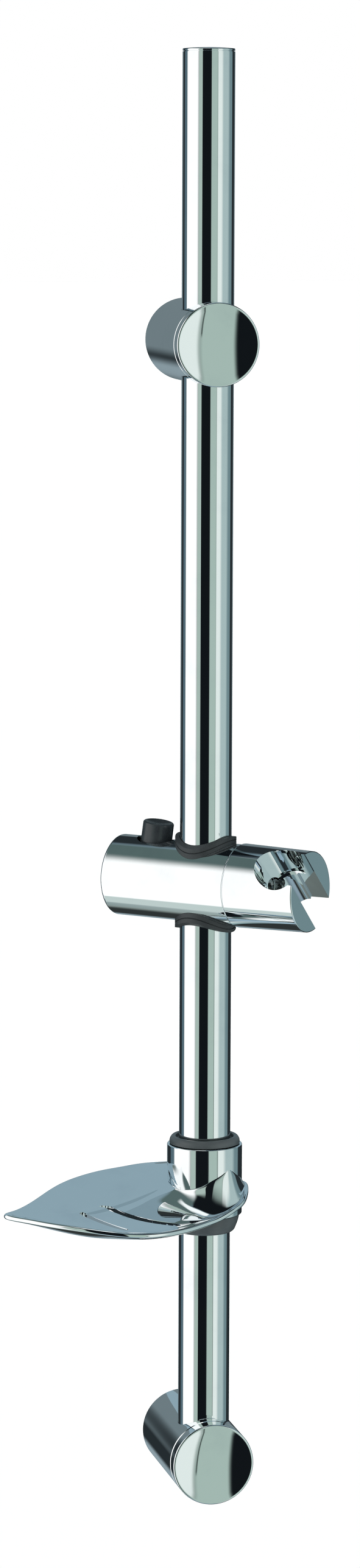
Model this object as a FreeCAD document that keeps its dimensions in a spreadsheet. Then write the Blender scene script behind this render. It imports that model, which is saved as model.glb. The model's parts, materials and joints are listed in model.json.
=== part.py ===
import FreeCAD, Part
import math
import os

import Sketcher

# Shower slide rail: a chrome tube in two round wall brackets, with a sliding and swivelling
# handset holder and a leaf-shaped soap dish. Millimetres, +Z up along the tube.
# The origin is the centre of the lower bracket's wall face. The wall is the plane y = 0 and
# the room is on the side of negative y.

Vector = FreeCAD.Vector
Rotation = FreeCAD.Rotation
Placement = FreeCAD.Placement
X_AXIS, Y_AXIS, Z_AXIS = Vector(1, 0, 0), Vector(0, 1, 0), Vector(0, 0, 1)

# Driving dimensions: name, millimetres or degrees, meaning.
SIZES = (
    ("rail_diameter", 25.0, "outside of the tube"),
    ("rail_wall", 1.2, "wall of the tube"),
    ("rail_length", 692.0, "length of the tube"),
    ("rail_foot_depth", 11.5, "tube end below the lower bracket's axis"),
    ("slide_clearance", 0.06, "between the tube and what slides on it, on the radius"),
    ("turn_clearance", 0.06, "between pieces that turn in each other, on the radius"),
    ("seat_clearance", 0.05, "between pieces that are fixed in each other, on the radius"),
    ("top_cap_edge", 1.5, "height of the top cap's edge"),
    ("top_cap_dome", 0.6, "rise of the top cap over its edge"),
    ("plug_length", 12.0, "how far the end plugs reach into the tube"),
    ("plug_wall", 2.0, "wall of the end plugs"),
    ("foot_plug_flange", 2.0, "flange under the tube"),
    ("bracket_spacing", 543.5, "between the two bracket axes"),
    ("bracket_diameter", 40.0, "outside of a bracket"),
    ("bracket_edge", 0.6, "bevel on the wall edge"),
    ("wall_distance", 47.5, "wall to the tube's axis"),
    ("bracket_reach", 22.0, "tube's axis to the front of a bracket"),
    ("bracket_cap_length", 7.0, "visible length of the front cap"),
    ("bracket_cap_wall", 2.4, "skirt of the front cap"),
    ("bracket_cap_face", 1.5, "front cap at its centre"),
    ("bracket_cap_hollow", 1.8, "how far the front face is dished"),
    ("bracket_cap_round", 0.9, "rounding of the cap's edge"),
    ("joint_gap", 0.4, "shadow gap behind the front cap"),
    ("boss_diameter", 30.0, "wall boss"),
    ("boss_length", 13.6, "wall boss"),
    ("wall_screw_hole", 5.5, "hole for the wall screw"),
    ("wall_screw_head", 10.5, "countersink for the wall screw"),
    ("grub_diameter", 5.0, "screw that locks a bracket on its boss"),
    ("grub_length", 5.0, "screw that locks a bracket on its boss"),
    ("grub_from_wall", 7.0, "axis of that screw"),
    ("clamp_diameter", 8.0, "screw that clamps the tube"),
    ("clamp_length", 3.4, "screw that clamps the tube"),
    ("clamp_pad_length", 1.4, "plastic pad before that screw"),
    ("slider_height", 284.0, "slider axis above the lower bracket's axis"),
    ("slider_swivel", 43.3, "turn of the slider out of the wall's direction"),
    ("slider_diameter", 39.4, "slider body"),
    ("slider_tail", 48.0, "tube's axis to the closed end"),
    ("slider_shoulder", 20.0, "tube's axis to the joint with the holder"),
    ("slider_round", 1.5, "rounding of the closed end"),
    ("sleeve_wall", 2.0, "grip sleeve inside the slider"),
    ("sleeve_length", 15.0, "grip sleeve inside the slider"),
    ("sleeve_split", 2.4, "slit in the grip sleeve"),
    ("seal_gap", 0.2, "between the rubber lips and the tube"),
    ("seal_wall", 2.1, "rubber lip on the radius"),
    ("seal_lip", 3.6, "height of the rubber lip over the slider"),
    ("seal_groove", 0.5, "width of the groove round the lip"),
    ("pivot_boss_diameter", 16.0, "boss that carries the holder"),
    ("pivot_boss_length", 5.0, "boss that carries the holder"),
    ("pivot_screw_diameter", 6.0, "screw through the holder"),
    ("pivot_screw_depth", 7.5, "how far it reaches into the pivot boss"),
    ("pivot_head_diameter", 10.0, "head of that screw"),
    ("pivot_head_length", 4.0, "head of that screw"),
    ("pivot_head_access", 10.8, "counterbore for the head"),
    ("pivot_web", 4.6, "wall of the holder under the head"),
    ("washer_thickness", 1.0, "friction washer"),
    ("holder_root_diameter", 40.6, "handset holder at the joint"),
    ("holder_tip_diameter", 39.0, "handset holder at its flat end"),
    ("holder_end", 57.8, "tube's axis to the flat end"),
    ("holder_round", 0.6, "rounding of the flat end"),
    ("holder_gap", 0.25, "gap at the joint with the slider"),
    ("holder_tilt", 45.0, "lean of the socket out of the vertical"),
    ("socket_place", 47.8, "tube's axis to the socket's axis"),
    ("socket_mouth", 24.4, "socket at the top of the holder"),
    ("socket_seat", 20.8, "socket at its ledge"),
    ("socket_ledge", 1.5, "ledge over the slider axis"),
    ("socket_throat", 16.6, "bore under the ledge"),
    ("mouth_flare", 0.6, "bevel of the socket's mouth"),
    ("slot_width", 18.6, "slot for the hose"),
    ("lever_place", 28.7, "tube's axis to the lever's pin"),
    ("lever_pin_height", 10.5, "pin over the slider axis"),
    ("lever_pin_diameter", 3.0, "hinge pin of the lever"),
    ("lever_pin_length", 27.6, "hinge pin of the lever"),
    ("lever_pin_reach", 12.0, "slider axis to the pin's blind end"),
    ("lever_eye", 7.5, "eye of the arm round the pin"),
    ("knob_diameter", 15.2, "lever knob"),
    ("knob_foot", 15.6, "underside of the knob over the slider axis"),
    ("knob_top", 27.6, "top of the knob over the slider axis"),
    ("knob_lean", 8.0, "lean of the knob towards the tube"),
    ("knob_round", 1.6, "rounding of the knob's top"),
    ("knob_hollow", 0.9, "depth of the thumb hollow"),
    ("knob_recess_gap", 0.8, "recess round the knob's foot"),
    ("knob_recess_floor_gap", 2.4, "recess floor under the knob"),
    ("knob_recess_tail", 37.2, "tube's axis to the recess's end at the tail"),
    ("knob_recess_reach", 15.9, "tube's axis to the recess's near end"),
    ("arm_thickness", 5.6, "lever arm across the slider"),
    ("arm_width", 3.2, "lever arm along the slider"),
    ("arm_nose", 2.6, "radius of the arm's round end"),
    ("shoe_diameter", 14.0, "brake shoe"),
    ("shoe_length", 20.0, "brake shoe"),
    ("shoe_gap", 0.12, "between the shoe and the sleeve"),
    ("shoe_bore_depth", 41.0, "tube's axis to the end of the shoe's bore"),
    ("spring_diameter", 10.0, "brake spring"),
    ("spring_wire", 1.0, "brake spring"),
    ("spring_turns", 3.0, "brake spring"),
    ("dish_height", 155.5, "top of the dish's collar above the lower bracket's axis"),
    ("collar_diameter", 36.5, "dish collar"),
    ("collar_length", 34.5, "dish collar"),
    ("bush_diameter", 30.0, "plastic bush in the collar"),
    ("bush_thread", 6.0, "length of the bush inside the ring below"),
    ("bush_lead", 0.8, "lead-in of the bush's bore"),
    ("bush_flange_diameter", 34.2, "flange over the collar"),
    ("bush_flange_height", 5.3, "flange over the collar"),
    ("lock_ring_diameter", 34.2, "tapered ring under the collar"),
    ("lock_ring_foot", 29.0, "tapered ring at its lower end"),
    ("lock_ring_height", 10.5, "tapered ring under the collar"),
    ("dish_gap", 0.3, "between the turning collar and what holds it"),
    ("dish_reach", 102.6, "tube's axis to the dish's tip"),
    ("dish_plate", 2.5, "thickness of the dish"),
    ("dish_slot", 3.6, "width of the drain slots"),
)

doc = FreeCAD.newDocument("slide_rail")
dims = doc.addObject("Spreadsheet::Sheet", "dims")
for row, (alias, value, meaning) in enumerate(SIZES, start=1):
    dims.set(f"A{row}", meaning)
    dims.set(f"B{row}", str(value))
    dims.setAlias(f"B{row}", alias)
doc.recompute()

# Sizes that follow from the driving ones, as expressions on the sheet.
RAIL_R = "dims.rail_diameter / 2"
RAIL_BORE_R = "(dims.rail_diameter / 2 + dims.slide_clearance)"
TUBE_INSIDE_R = "(dims.rail_diameter / 2 - dims.rail_wall)"
PLUG_R = "(dims.rail_diameter / 2 - dims.rail_wall - dims.seat_clearance)"
BRACKET_R = "dims.bracket_diameter / 2"
JOINT_Y = "(dims.wall_distance + dims.bracket_reach - dims.bracket_cap_length)"
FRONT_Y = "(dims.wall_distance + dims.bracket_reach)"
CAVITY_Y = "(dims.wall_distance + dims.bracket_reach - dims.bracket_cap_hollow - dims.bracket_cap_face)"
SPIGOT_Y = f"({CAVITY_Y} - 4 * dims.seat_clearance)"
CAVITY_R = "(dims.bracket_diameter / 2 - dims.bracket_cap_wall)"
BOSS_BORE_R = "(dims.boss_diameter / 2 + dims.seat_clearance)"
SLIDER_R = "dims.slider_diameter / 2"
SLEEVE_R = f"({RAIL_BORE_R} + dims.sleeve_wall)"
SLIDER_BORE_R = f"({SLEEVE_R} + dims.turn_clearance)"
PIVOT_R = "dims.pivot_boss_diameter / 2"
PIVOT_END = "(dims.slider_shoulder + dims.pivot_boss_length)"
WEB_END = f"({PIVOT_END} + dims.joint_gap + dims.pivot_web)"


def size(expression):
    """the number that an expression on the sheet has now"""
    found = dims.evalExpression(expression)
    return float(getattr(found, "Value", found))


def new_body(label):
    body = doc.addObject("PartDesign::Body", label)
    body.Label = label
    return body


def new_sketch(body, name, plane, offset="0", sideways="0"):
    """an empty sketch on an origin plane of its body, moved along the plane's normal and its x"""
    sketch = body.newObject("Sketcher::SketchObject", name)
    plane_object = next(o for o in body.Origin.OriginFeatures if o.Role == plane)
    sketch.AttachmentSupport = [(plane_object, "")]
    sketch.MapMode = "FlatFace"
    sketch.setExpression("AttachmentOffset.Base.z", offset)
    sketch.setExpression("AttachmentOffset.Base.x", sideways)
    return sketch


def pin_point(sketch, geometry, corner, x, y):
    """holds one point of a sketch at two expressions from the sketch's origin"""
    for kind, expression in (("DistanceX", x), ("DistanceY", y)):
        rule = Sketcher.Constraint(kind, -1, 1, geometry, corner, size(expression))
        index = sketch.addConstraint(rule)
        sketch.setExpression(f"Constraints[{index}]", expression)


def draw_outline(sketch, corners, through=None):
    """a closed outline through the corners, given as pairs of expressions. through turns a side
    into an arc: {side number: the pair of expressions of a point on it}, or "pole" for an arc that
    meets the sketch's vertical axis square"""
    through = through or {}
    points = [Vector(size(x), size(y), 0) for x, y in corners]
    for side, start in enumerate(points):
        end = points[(side + 1) % len(points)]
        if side in through:
            if through[side] == "pole":
                middle = middle_of_cap(start, end)
            else:
                middle = Vector(*map(size, through[side]), 0)
            turns_left = (middle - start).cross(end - middle).z > 0
            ends = (start, end) if turns_left else (end, start)
            sketch.addGeometry(Part.Arc(ends[0], middle, ends[1]), False)
        else:
            sketch.addGeometry(Part.LineSegment(start, end), False)
    for side, (x, y) in enumerate(corners):
        after = (side + 1) % len(corners)
        joint = points[after]
        ends = end_at(sketch, side, joint), end_at(sketch, after, joint)
        sketch.addConstraint(Sketcher.Constraint("Coincident", side, ends[0], after, ends[1]))
        pin_point(sketch, side, end_at(sketch, side, points[side]), x, y)
    for side, place in through.items():
        if place == "pole":
            sketch.addConstraint(Sketcher.Constraint("PointOnObject", side, 3, -2))
            continue
        mark = sketch.addGeometry(Part.Point(Vector(*map(size, place), 0)), True)
        pin_point(sketch, mark, 1, *place)
        sketch.addConstraint(Sketcher.Constraint("PointOnObject", mark, 1, side))


def middle_of_cap(start, end):
    """halfway along the arc between two points whose centre is on the vertical axis"""
    pole, edge = (start, end) if abs(start.x) < abs(end.x) else (end, start)
    rise = pole.y - edge.y
    radius = (edge.x ** 2 + rise ** 2) / (2 * abs(rise))
    side = math.copysign(1, rise)
    half = math.asin(edge.x / radius) / 2
    centre = pole.y - side * radius
    return Vector(radius * math.sin(half), centre + side * radius * math.cos(half), 0)


def end_at(sketch, geometry, point):
    """1 or 2: which end of a line or arc lies at a point"""
    curve = sketch.Geometry[geometry]
    return 1 if (curve.StartPoint - point).Length <= (curve.EndPoint - point).Length else 2


def revolve(body, name, plane, axis, corners, through=None, cut=False, sideways="0"):
    """turns an outline about the sketch's H_Axis or V_Axis"""
    sketch = new_sketch(body, f"{name}_outline", plane, sideways=sideways)
    draw_outline(sketch, corners, through)
    kind = "PartDesign::Groove" if cut else "PartDesign::Revolution"
    feature = body.newObject(kind, name)
    feature.Profile = sketch
    feature.ReferenceAxis = (sketch, [axis])
    feature.Angle = 360
    doc.recompute()
    return feature


def draw_circle(sketch, x, y, diameter):
    radius = size(f"({diameter}) / 2")
    centre = Vector(size(x), size(y), 0)
    index = sketch.addGeometry(Part.Circle(centre, Z_AXIS, radius), False)
    pin_point(sketch, index, 3, x, y)
    rule = sketch.addConstraint(Sketcher.Constraint("Diameter", index, 2 * radius))
    sketch.setExpression(f"Constraints[{rule}]", diameter)


def cut_out(body, name, sketch, length=None, reverse=False, both_ways=False):
    """a pocket through all, or as deep as an expression says"""
    before = body.Shape.Volume
    pocket = body.newObject("PartDesign::Pocket", name)
    pocket.Profile = sketch
    if length is None:
        pocket.Type = "ThroughAll"
    else:
        pocket.Type = "Length"
        pocket.setExpression("Length", length)
    pocket.Reversed = reverse
    if both_ways:
        pocket.SideType = "Symmetric"
    doc.recompute()
    if not body.Shape.Volume < before - 0.01:
        raise RuntimeError(f"{name} cuts nothing")
    return pocket


def drill(body, name, plane, x, y, diameter, offset="0", **how):
    sketch = new_sketch(body, f"{name}_circle", plane, offset)
    draw_circle(sketch, x, y, diameter)
    return cut_out(body, name, sketch, **how)


def dress_edges(body, kind, name, amount, wanted):
    """a Fillet or Chamfer on the edges of the body's tip for which wanted(edge) is true"""
    base = body.Tip
    edges = [f"Edge{i}" for i, edge in enumerate(base.Shape.Edges, start=1) if wanted(edge)]
    if not edges:
        raise RuntimeError(f"{name} finds no edge")
    feature = body.newObject(f"PartDesign::{kind}", name)
    feature.Base = (base, edges)
    feature.setExpression("Radius" if kind == "Fillet" else "Size", amount)
    doc.recompute()
    return feature


def is_ring(edge, axis, along, radius):
    """true for a full circle about a body's own axis, at a place along it and with a radius"""
    if edge.Degenerated or not isinstance(edge.Curve, Part.Circle) or not edge.isClosed():
        return False
    curve = edge.Curve
    return abs(curve.Center.dot(axis) - along) < 1e-3 and abs(curve.Radius - radius) < 1e-3


def primitive(kind, name, **values):
    """a Part primitive whose properties follow expressions, and whose placement is x, y, z and turn"""
    shape = doc.addObject(f"Part::{kind}", name)
    turn = values.pop("turn", None)
    if turn is not None:
        shape.Placement = Placement(Vector(), turn)
    for key, expression in values.items():
        target = f"Placement.Base.{key}" if key in ("x", "y", "z") else key
        shape.setExpression(target, expression)
    return shape


def combine(kind, name, base, *others):
    """base minus the others (Cut), with them (Fuse) or only where both are (Common)"""
    tool = others[0]
    if len(others) > 1:
        tool = doc.addObject("Part::MultiFuse", f"{name}_tools")
        tool.Shapes = list(others)
    result = doc.addObject(f"Part::{kind}", name)
    result.Base = base
    result.Tool = tool
    doc.recompute()
    return result


sub_parts = []


def keep(part, label, placement=None):
    """names a finished sub-part and puts it in its place"""
    part.Label = label
    if placement is not None:
        part.Placement = placement
    sub_parts.append(part)
    return part


# The tube and its two end plugs

RAIL_FOOT = Placement(Vector(0, -size("dims.wall_distance"), -size("dims.rail_foot_depth")), Rotation())
RAIL_TOP = Placement(RAIL_FOOT.Base + Z_AXIS * size("dims.rail_length"), Rotation())


def build_rail():
    body = new_body("rail_tube")
    revolve(body, "tube", "XZ_Plane", "V_Axis", [
        (TUBE_INSIDE_R, "0"),
        (RAIL_R, "0"),
        (RAIL_R, "dims.rail_length"),
        (TUBE_INSIDE_R, "dims.rail_length"),
    ])
    keep(body, "rail_tube", RAIL_FOOT)

    cap = new_body("rail_top_cap")
    plug_inside = f"({PLUG_R} - dims.plug_wall)"
    edge_r = f"({RAIL_R} - dims.seat_clearance)"
    revolve(cap, "cap", "XZ_Plane", "V_Axis", [
        ("0", "0"),
        (plug_inside, "0"),
        (plug_inside, "-dims.plug_length"),
        (PLUG_R, "-dims.plug_length"),
        (PLUG_R, "0"),
        (edge_r, "0"),
        (edge_r, "dims.top_cap_edge"),
        ("0", "dims.top_cap_edge + dims.top_cap_dome"),
    ], through={6: "pole"})
    dome = lambda edge: is_ring(edge, Z_AXIS, size("dims.top_cap_edge"), size(edge_r))
    dress_edges(cap, "Fillet", "cap_edge", "dims.top_cap_edge / 3", dome)
    keep(cap, "rail_top_cap", RAIL_TOP)

    plug = new_body("rail_foot_plug")
    revolve(plug, "plug", "XZ_Plane", "V_Axis", [
        ("0", "-dims.foot_plug_flange"),
        (RAIL_R, "-dims.foot_plug_flange"),
        (RAIL_R, "0"),
        (PLUG_R, "0"),
        (PLUG_R, "dims.plug_length"),
        (plug_inside, "dims.plug_length"),
        (plug_inside, "0"),
        ("0", "0"),
    ])
    keep(plug, "rail_foot_plug", RAIL_FOOT)


# Set screws: turned about their own Z, the cone at z = 0 and the hexagon socket at the far end


def build_set_screw(label, diameter, length, placement):
    body = new_body(label)
    radius = f"(({diameter}) / 2 - dims.seat_clearance)"
    bevel = f"(({diameter}) / 8)"
    revolve(body, f"{label}_shank", "XZ_Plane", "V_Axis", [
        ("0", "0"),
        (f"{radius} - 2 * {bevel}", "0"),
        (radius, f"2 * {bevel}"),
        (radius, f"({length}) - {bevel} / 2"),
        (f"{radius} - {bevel} / 2", length),
        ("0", length),
    ])
    sketch = new_sketch(body, f"{label}_hexagon", "XY_Plane", length)
    corner = f"(({diameter}) / 4 / cos(30))"
    draw_outline(sketch, [(f"{corner} * cos({60 * k})", f"{corner} * sin({60 * k})") for k in range(6)])
    cut_out(body, f"{label}_socket", sketch, f"({length}) * 0.55")
    keep(body, label, placement)


# A wall bracket: the wall boss is screwed to the wall, the body slips over it and is locked by a
# set screw from below, and a second one under the front cap clamps the tube. All of it turns
# about the body's own Y, with the wall face at y = 0.


def build_bracket(side, height, blind):
    base = Placement(Vector(0, 0, size(height)), Rotation())

    body = new_body(f"{side}_bracket_body")
    revolve(body, f"{side}_turned", "XY_Plane", "V_Axis", [
        (BOSS_BORE_R, "0"),
        (BRACKET_R, "0"),
        (BRACKET_R, f"-{JOINT_Y}"),
        (f"({CAVITY_R} - dims.seat_clearance)", f"-{JOINT_Y}"),
        (f"({CAVITY_R} - dims.seat_clearance)", f"-{SPIGOT_Y}"),
        ("0", f"-{SPIGOT_Y}"),
        ("0", "-dims.boss_length - dims.joint_gap"),
        (BOSS_BORE_R, "-dims.boss_length - dims.joint_gap"),
    ])
    outer = size(BRACKET_R)
    rims = lambda edge: any(is_ring(edge, Y_AXIS, y, outer) for y in (0, -size(JOINT_Y)))
    dress_edges(body, "Chamfer", f"{side}_bevel", "dims.bracket_edge", rims)
    floor = "-dims.rail_foot_depth - dims.foot_plug_flange - dims.joint_gap" if blind else "0"
    rail_hole = new_sketch(body, f"{side}_rail_circle", "XY_Plane", floor)
    draw_circle(rail_hole, "0", "-dims.wall_distance", f"2 * {RAIL_BORE_R}")
    cut_out(body, f"{side}_rail_bore", rail_hole, reverse=blind, both_ways=not blind)
    drill(body, f"{side}_clamp_hole", "XZ_Plane", "0", "0", "dims.clamp_diameter",
          "dims.wall_distance", reverse=True)
    drill(body, f"{side}_grub_hole", "XY_Plane", "0", "-dims.grub_from_wall", "dims.grub_diameter")
    keep(body, f"{side}_bracket_body", base)

    cap = new_body(f"{side}_bracket_cap")
    revolve(cap, f"{side}_cup", "XY_Plane", "V_Axis", [
        (CAVITY_R, f"-{JOINT_Y} - dims.joint_gap"),
        (BRACKET_R, f"-{JOINT_Y} - dims.joint_gap"),
        (BRACKET_R, f"-{FRONT_Y}"),
        (f"({BRACKET_R} - dims.bracket_cap_round)", f"-{FRONT_Y}"),
        ("0", f"-{FRONT_Y} + dims.bracket_cap_hollow"),
        ("0", f"-{CAVITY_Y}"),
        (CAVITY_R, f"-{CAVITY_Y}"),
    ], through={3: "pole"})
    front = lambda edge: is_ring(edge, Y_AXIS, -size(FRONT_Y), outer)
    dress_edges(cap, "Fillet", f"{side}_cap_edge", "dims.bracket_cap_round * 0.9", front)
    keep(cap, f"{side}_bracket_cap", base)

    boss = new_body(f"{side}_wall_boss")
    countersink = "(dims.wall_screw_head - dims.wall_screw_hole) / 2"
    revolve(boss, f"{side}_boss", "XY_Plane", "V_Axis", [
        ("dims.wall_screw_hole / 2", "0"),
        ("dims.boss_diameter / 2", "0"),
        ("dims.boss_diameter / 2", "-dims.boss_length"),
        ("dims.wall_screw_head / 2", "-dims.boss_length"),
        ("dims.wall_screw_hole / 2", f"-dims.boss_length + {countersink}"),
    ])
    keep(boss, f"{side}_wall_boss", base)

    grub_tip = Vector(0, -size("dims.grub_from_wall"), -size("dims.boss_diameter / 2 + dims.seat_clearance"))
    build_set_screw(f"{side}_grub_screw", "dims.grub_diameter", "dims.grub_length",
                    Placement(base.Base + grub_tip, Rotation(X_AXIS, 180)))

    pad_back = size("dims.rail_diameter / 2 + dims.slide_clearance")
    pad_at = base.Base - Y_AXIS * (size("dims.wall_distance") + pad_back)
    pad = primitive("Cylinder", f"{side}_pad_disc", Radius="dims.clamp_diameter / 2 - dims.seat_clearance",
                    Height="dims.clamp_pad_length + 0.5", turn=Rotation(X_AXIS, 90),
                    y=f"{RAIL_BORE_R} * -1 + 0.5")
    rail = primitive("Cylinder", f"{side}_pad_hollow", Radius=RAIL_BORE_R, Height="2 * dims.clamp_diameter",
                     z="-dims.clamp_diameter")
    hollowed = combine("Cut", f"{side}_clamp_pad", pad, rail)
    on_axis = Placement(base.Base - Y_AXIS * size("dims.wall_distance"), Rotation())
    keep(hollowed, f"{side}_clamp_pad", on_axis)

    screw_at = pad_at - Y_AXIS * size("dims.clamp_pad_length + dims.seat_clearance")
    build_set_screw(f"{side}_clamp_screw", "dims.clamp_diameter", "dims.clamp_length",
                    Placement(screw_at, Rotation(X_AXIS, 90)))


# The slider and the handset holder. Both are modelled with the slider's axis along X and the
# tube's axis along Z; the holder's own Z is the axis of its socket.

SLIDER_AT = Placement(Vector(0, -size("dims.wall_distance"), size("dims.slider_height")),
                      Rotation(Z_AXIS, -size("dims.slider_swivel")))
HOLDER_AT = SLIDER_AT * Placement(Vector(), Rotation(X_AXIS, size("dims.holder_tilt")))
RECESS_R = "(dims.knob_diameter / 2 + dims.knob_recess_gap)"
RECESS_FLOOR = "(dims.knob_foot - dims.knob_recess_floor_gap)"
NOSE_X = "(-dims.lever_place - dims.lever_pin_height * tan(dims.knob_lean))"
NOSE_GAP = "2 * dims.turn_clearance"


def build_slider():
    body = new_body("slider_body")
    revolve(body, "slider_turned", "XZ_Plane", "H_Axis", [
        ("-dims.slider_tail", "0"),
        ("-dims.slider_tail", SLIDER_R),
        ("dims.slider_shoulder", SLIDER_R),
        ("dims.slider_shoulder", PIVOT_R),
        (PIVOT_END, PIVOT_R),
        (PIVOT_END, "0"),
    ])
    radius = size(SLIDER_R)
    tail = lambda edge: is_ring(edge, X_AXIS, -size("dims.slider_tail"), radius)
    shoulder = lambda edge: is_ring(edge, X_AXIS, size("dims.slider_shoulder"), radius)
    dress_edges(body, "Fillet", "slider_tail_edge", "dims.slider_round", tail)
    dress_edges(body, "Chamfer", "slider_shoulder_edge", "dims.joint_gap", shoulder)
    drill(body, "rail_bore", "XY_Plane", "0", "0", f"2 * {SLIDER_BORE_R}", both_ways=True)
    drill(body, "shoe_bore", "YZ_Plane", "0", "0", f"dims.shoe_diameter + 2 * {NOSE_GAP}",
          "-dims.shoe_bore_depth", length="dims.shoe_bore_depth", reverse=True)
    drill(body, "pivot_thread", "YZ_Plane", "0", "0", "dims.pivot_screw_diameter + 2 * dims.seat_clearance",
          PIVOT_END, length="dims.pivot_screw_depth + dims.pivot_boss_length / 10")
    recess = new_sketch(body, "lever_recess_outline", "XY_Plane", RECESS_FLOOR)
    tail_end, rail_end = "-dims.knob_recess_tail", "-dims.knob_recess_reach"
    draw_outline(recess, [
        (f"{tail_end} + {RECESS_R}", f"-{RECESS_R}"),
        (f"{rail_end} - {RECESS_R}", f"-{RECESS_R}"),
        (f"{rail_end} - {RECESS_R}", RECESS_R),
        (f"{tail_end} + {RECESS_R}", RECESS_R),
    ], through={1: (rail_end, "0"), 3: (tail_end, "0")})
    cut_out(body, "lever_recess", recess, SLIDER_R, reverse=True)
    window = new_sketch(body, "arm_window_outline", "XY_Plane")
    half_x = "(dims.lever_eye / 2 + dims.joint_gap)"
    half_y = "(dims.arm_thickness / 2 + dims.seal_gap)"
    draw_outline(window, [
        (f"-dims.lever_place - {half_x}", f"-{half_y}"),
        (f"-dims.lever_place + {half_x}", f"-{half_y}"),
        (f"-dims.lever_place + {half_x}", half_y),
        (f"-dims.lever_place - {half_x}", half_y),
    ])
    cut_out(body, "arm_window", window, SLIDER_R, reverse=True)
    drill(body, "lever_pin_hole", "XZ_Plane", "-dims.lever_place", "dims.lever_pin_height",
          "dims.lever_pin_diameter + 2 * dims.seat_clearance", "dims.lever_pin_reach")
    keep(body, "slider_body", SLIDER_AT)

    sleeve = new_body("grip_sleeve")
    revolve(sleeve, "sleeve_tube", "XZ_Plane", "V_Axis", [
        (RAIL_BORE_R, "-dims.sleeve_length / 2"),
        (SLEEVE_R, "-dims.sleeve_length / 2"),
        (SLEEVE_R, "dims.sleeve_length / 2"),
        (RAIL_BORE_R, "dims.sleeve_length / 2"),
    ])
    slit = new_sketch(sleeve, "sleeve_slit_outline", "YZ_Plane")
    draw_outline(slit, [
        ("-dims.sleeve_split / 2", "-dims.sleeve_length"),
        ("dims.sleeve_split / 2", "-dims.sleeve_length"),
        ("dims.sleeve_split / 2", "dims.sleeve_length"),
        ("-dims.sleeve_split / 2", "dims.sleeve_length"),
    ])
    cut_out(sleeve, "sleeve_slit", slit, SLIDER_R, reverse=True)
    keep(sleeve, "grip_sleeve", SLIDER_AT)

    for side, turn in (("upper", 0), ("lower", 180)):
        build_seal(f"{side}_seal", SLIDER_AT * Placement(Vector(), Rotation(X_AXIS, turn)))


def build_seal(label, placement):
    """a rubber sleeve in the end of the bore, with a lip that lies on the slider as a saddle"""
    inside = "(dims.rail_diameter / 2 + dims.seal_gap)"
    foot = "(dims.sleeve_length / 2 + dims.joint_gap)"
    lip_r = f"({inside} + dims.seal_wall)"
    high = "(dims.slider_diameter)"
    across = {"Height": "4 * dims.slider_diameter", "x": "-2 * dims.slider_diameter",
              "turn": Rotation(Y_AXIS, 90)}
    seat = f"({SLIDER_R} + dims.seat_clearance)"
    top = f"({SLIDER_R} + dims.seal_lip)"
    sleeve = primitive("Cylinder", f"{label}_sleeve", Radius=f"{SLIDER_BORE_R} - dims.seat_clearance",
                       Height=high, z=foot)
    within = primitive("Cylinder", f"{label}_within", Radius=seat, **across)
    sleeve = combine("Common", f"{label}_plug", sleeve, within)
    lip = primitive("Cylinder", f"{label}_lip", Radius=lip_r, Height=high, z=foot)
    under = primitive("Cylinder", f"{label}_under", Radius=top, **across)
    lip = combine("Common", f"{label}_cap", lip, under)
    saddle = primitive("Cylinder", f"{label}_saddle", Radius=seat, **across)
    lip = combine("Cut", f"{label}_saddle_lip", lip, saddle)
    low = f"{SLIDER_R} + dims.seal_lip * 0.45"
    groove_low = primitive("Cylinder", f"{label}_groove_low", Radius=low, **across)
    groove_high = primitive("Cylinder", f"{label}_groove_high",
                            Radius=f"{low} + dims.seal_groove", **across)
    groove_ring = combine("Cut", f"{label}_groove_band", groove_high, groove_low)
    core = primitive("Cylinder", f"{label}_core", Radius=f"{lip_r} - dims.seal_groove",
                     Height=high)
    groove_ring = combine("Cut", f"{label}_groove", groove_ring, core)
    bore = primitive("Cylinder", f"{label}_bore", Radius=inside, Height="2 * " + high)
    whole = combine("Fuse", f"{label}_whole", sleeve, lip)
    seal = combine("Cut", label, whole, groove_ring, bore)
    keep(seal, label, placement)


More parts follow.
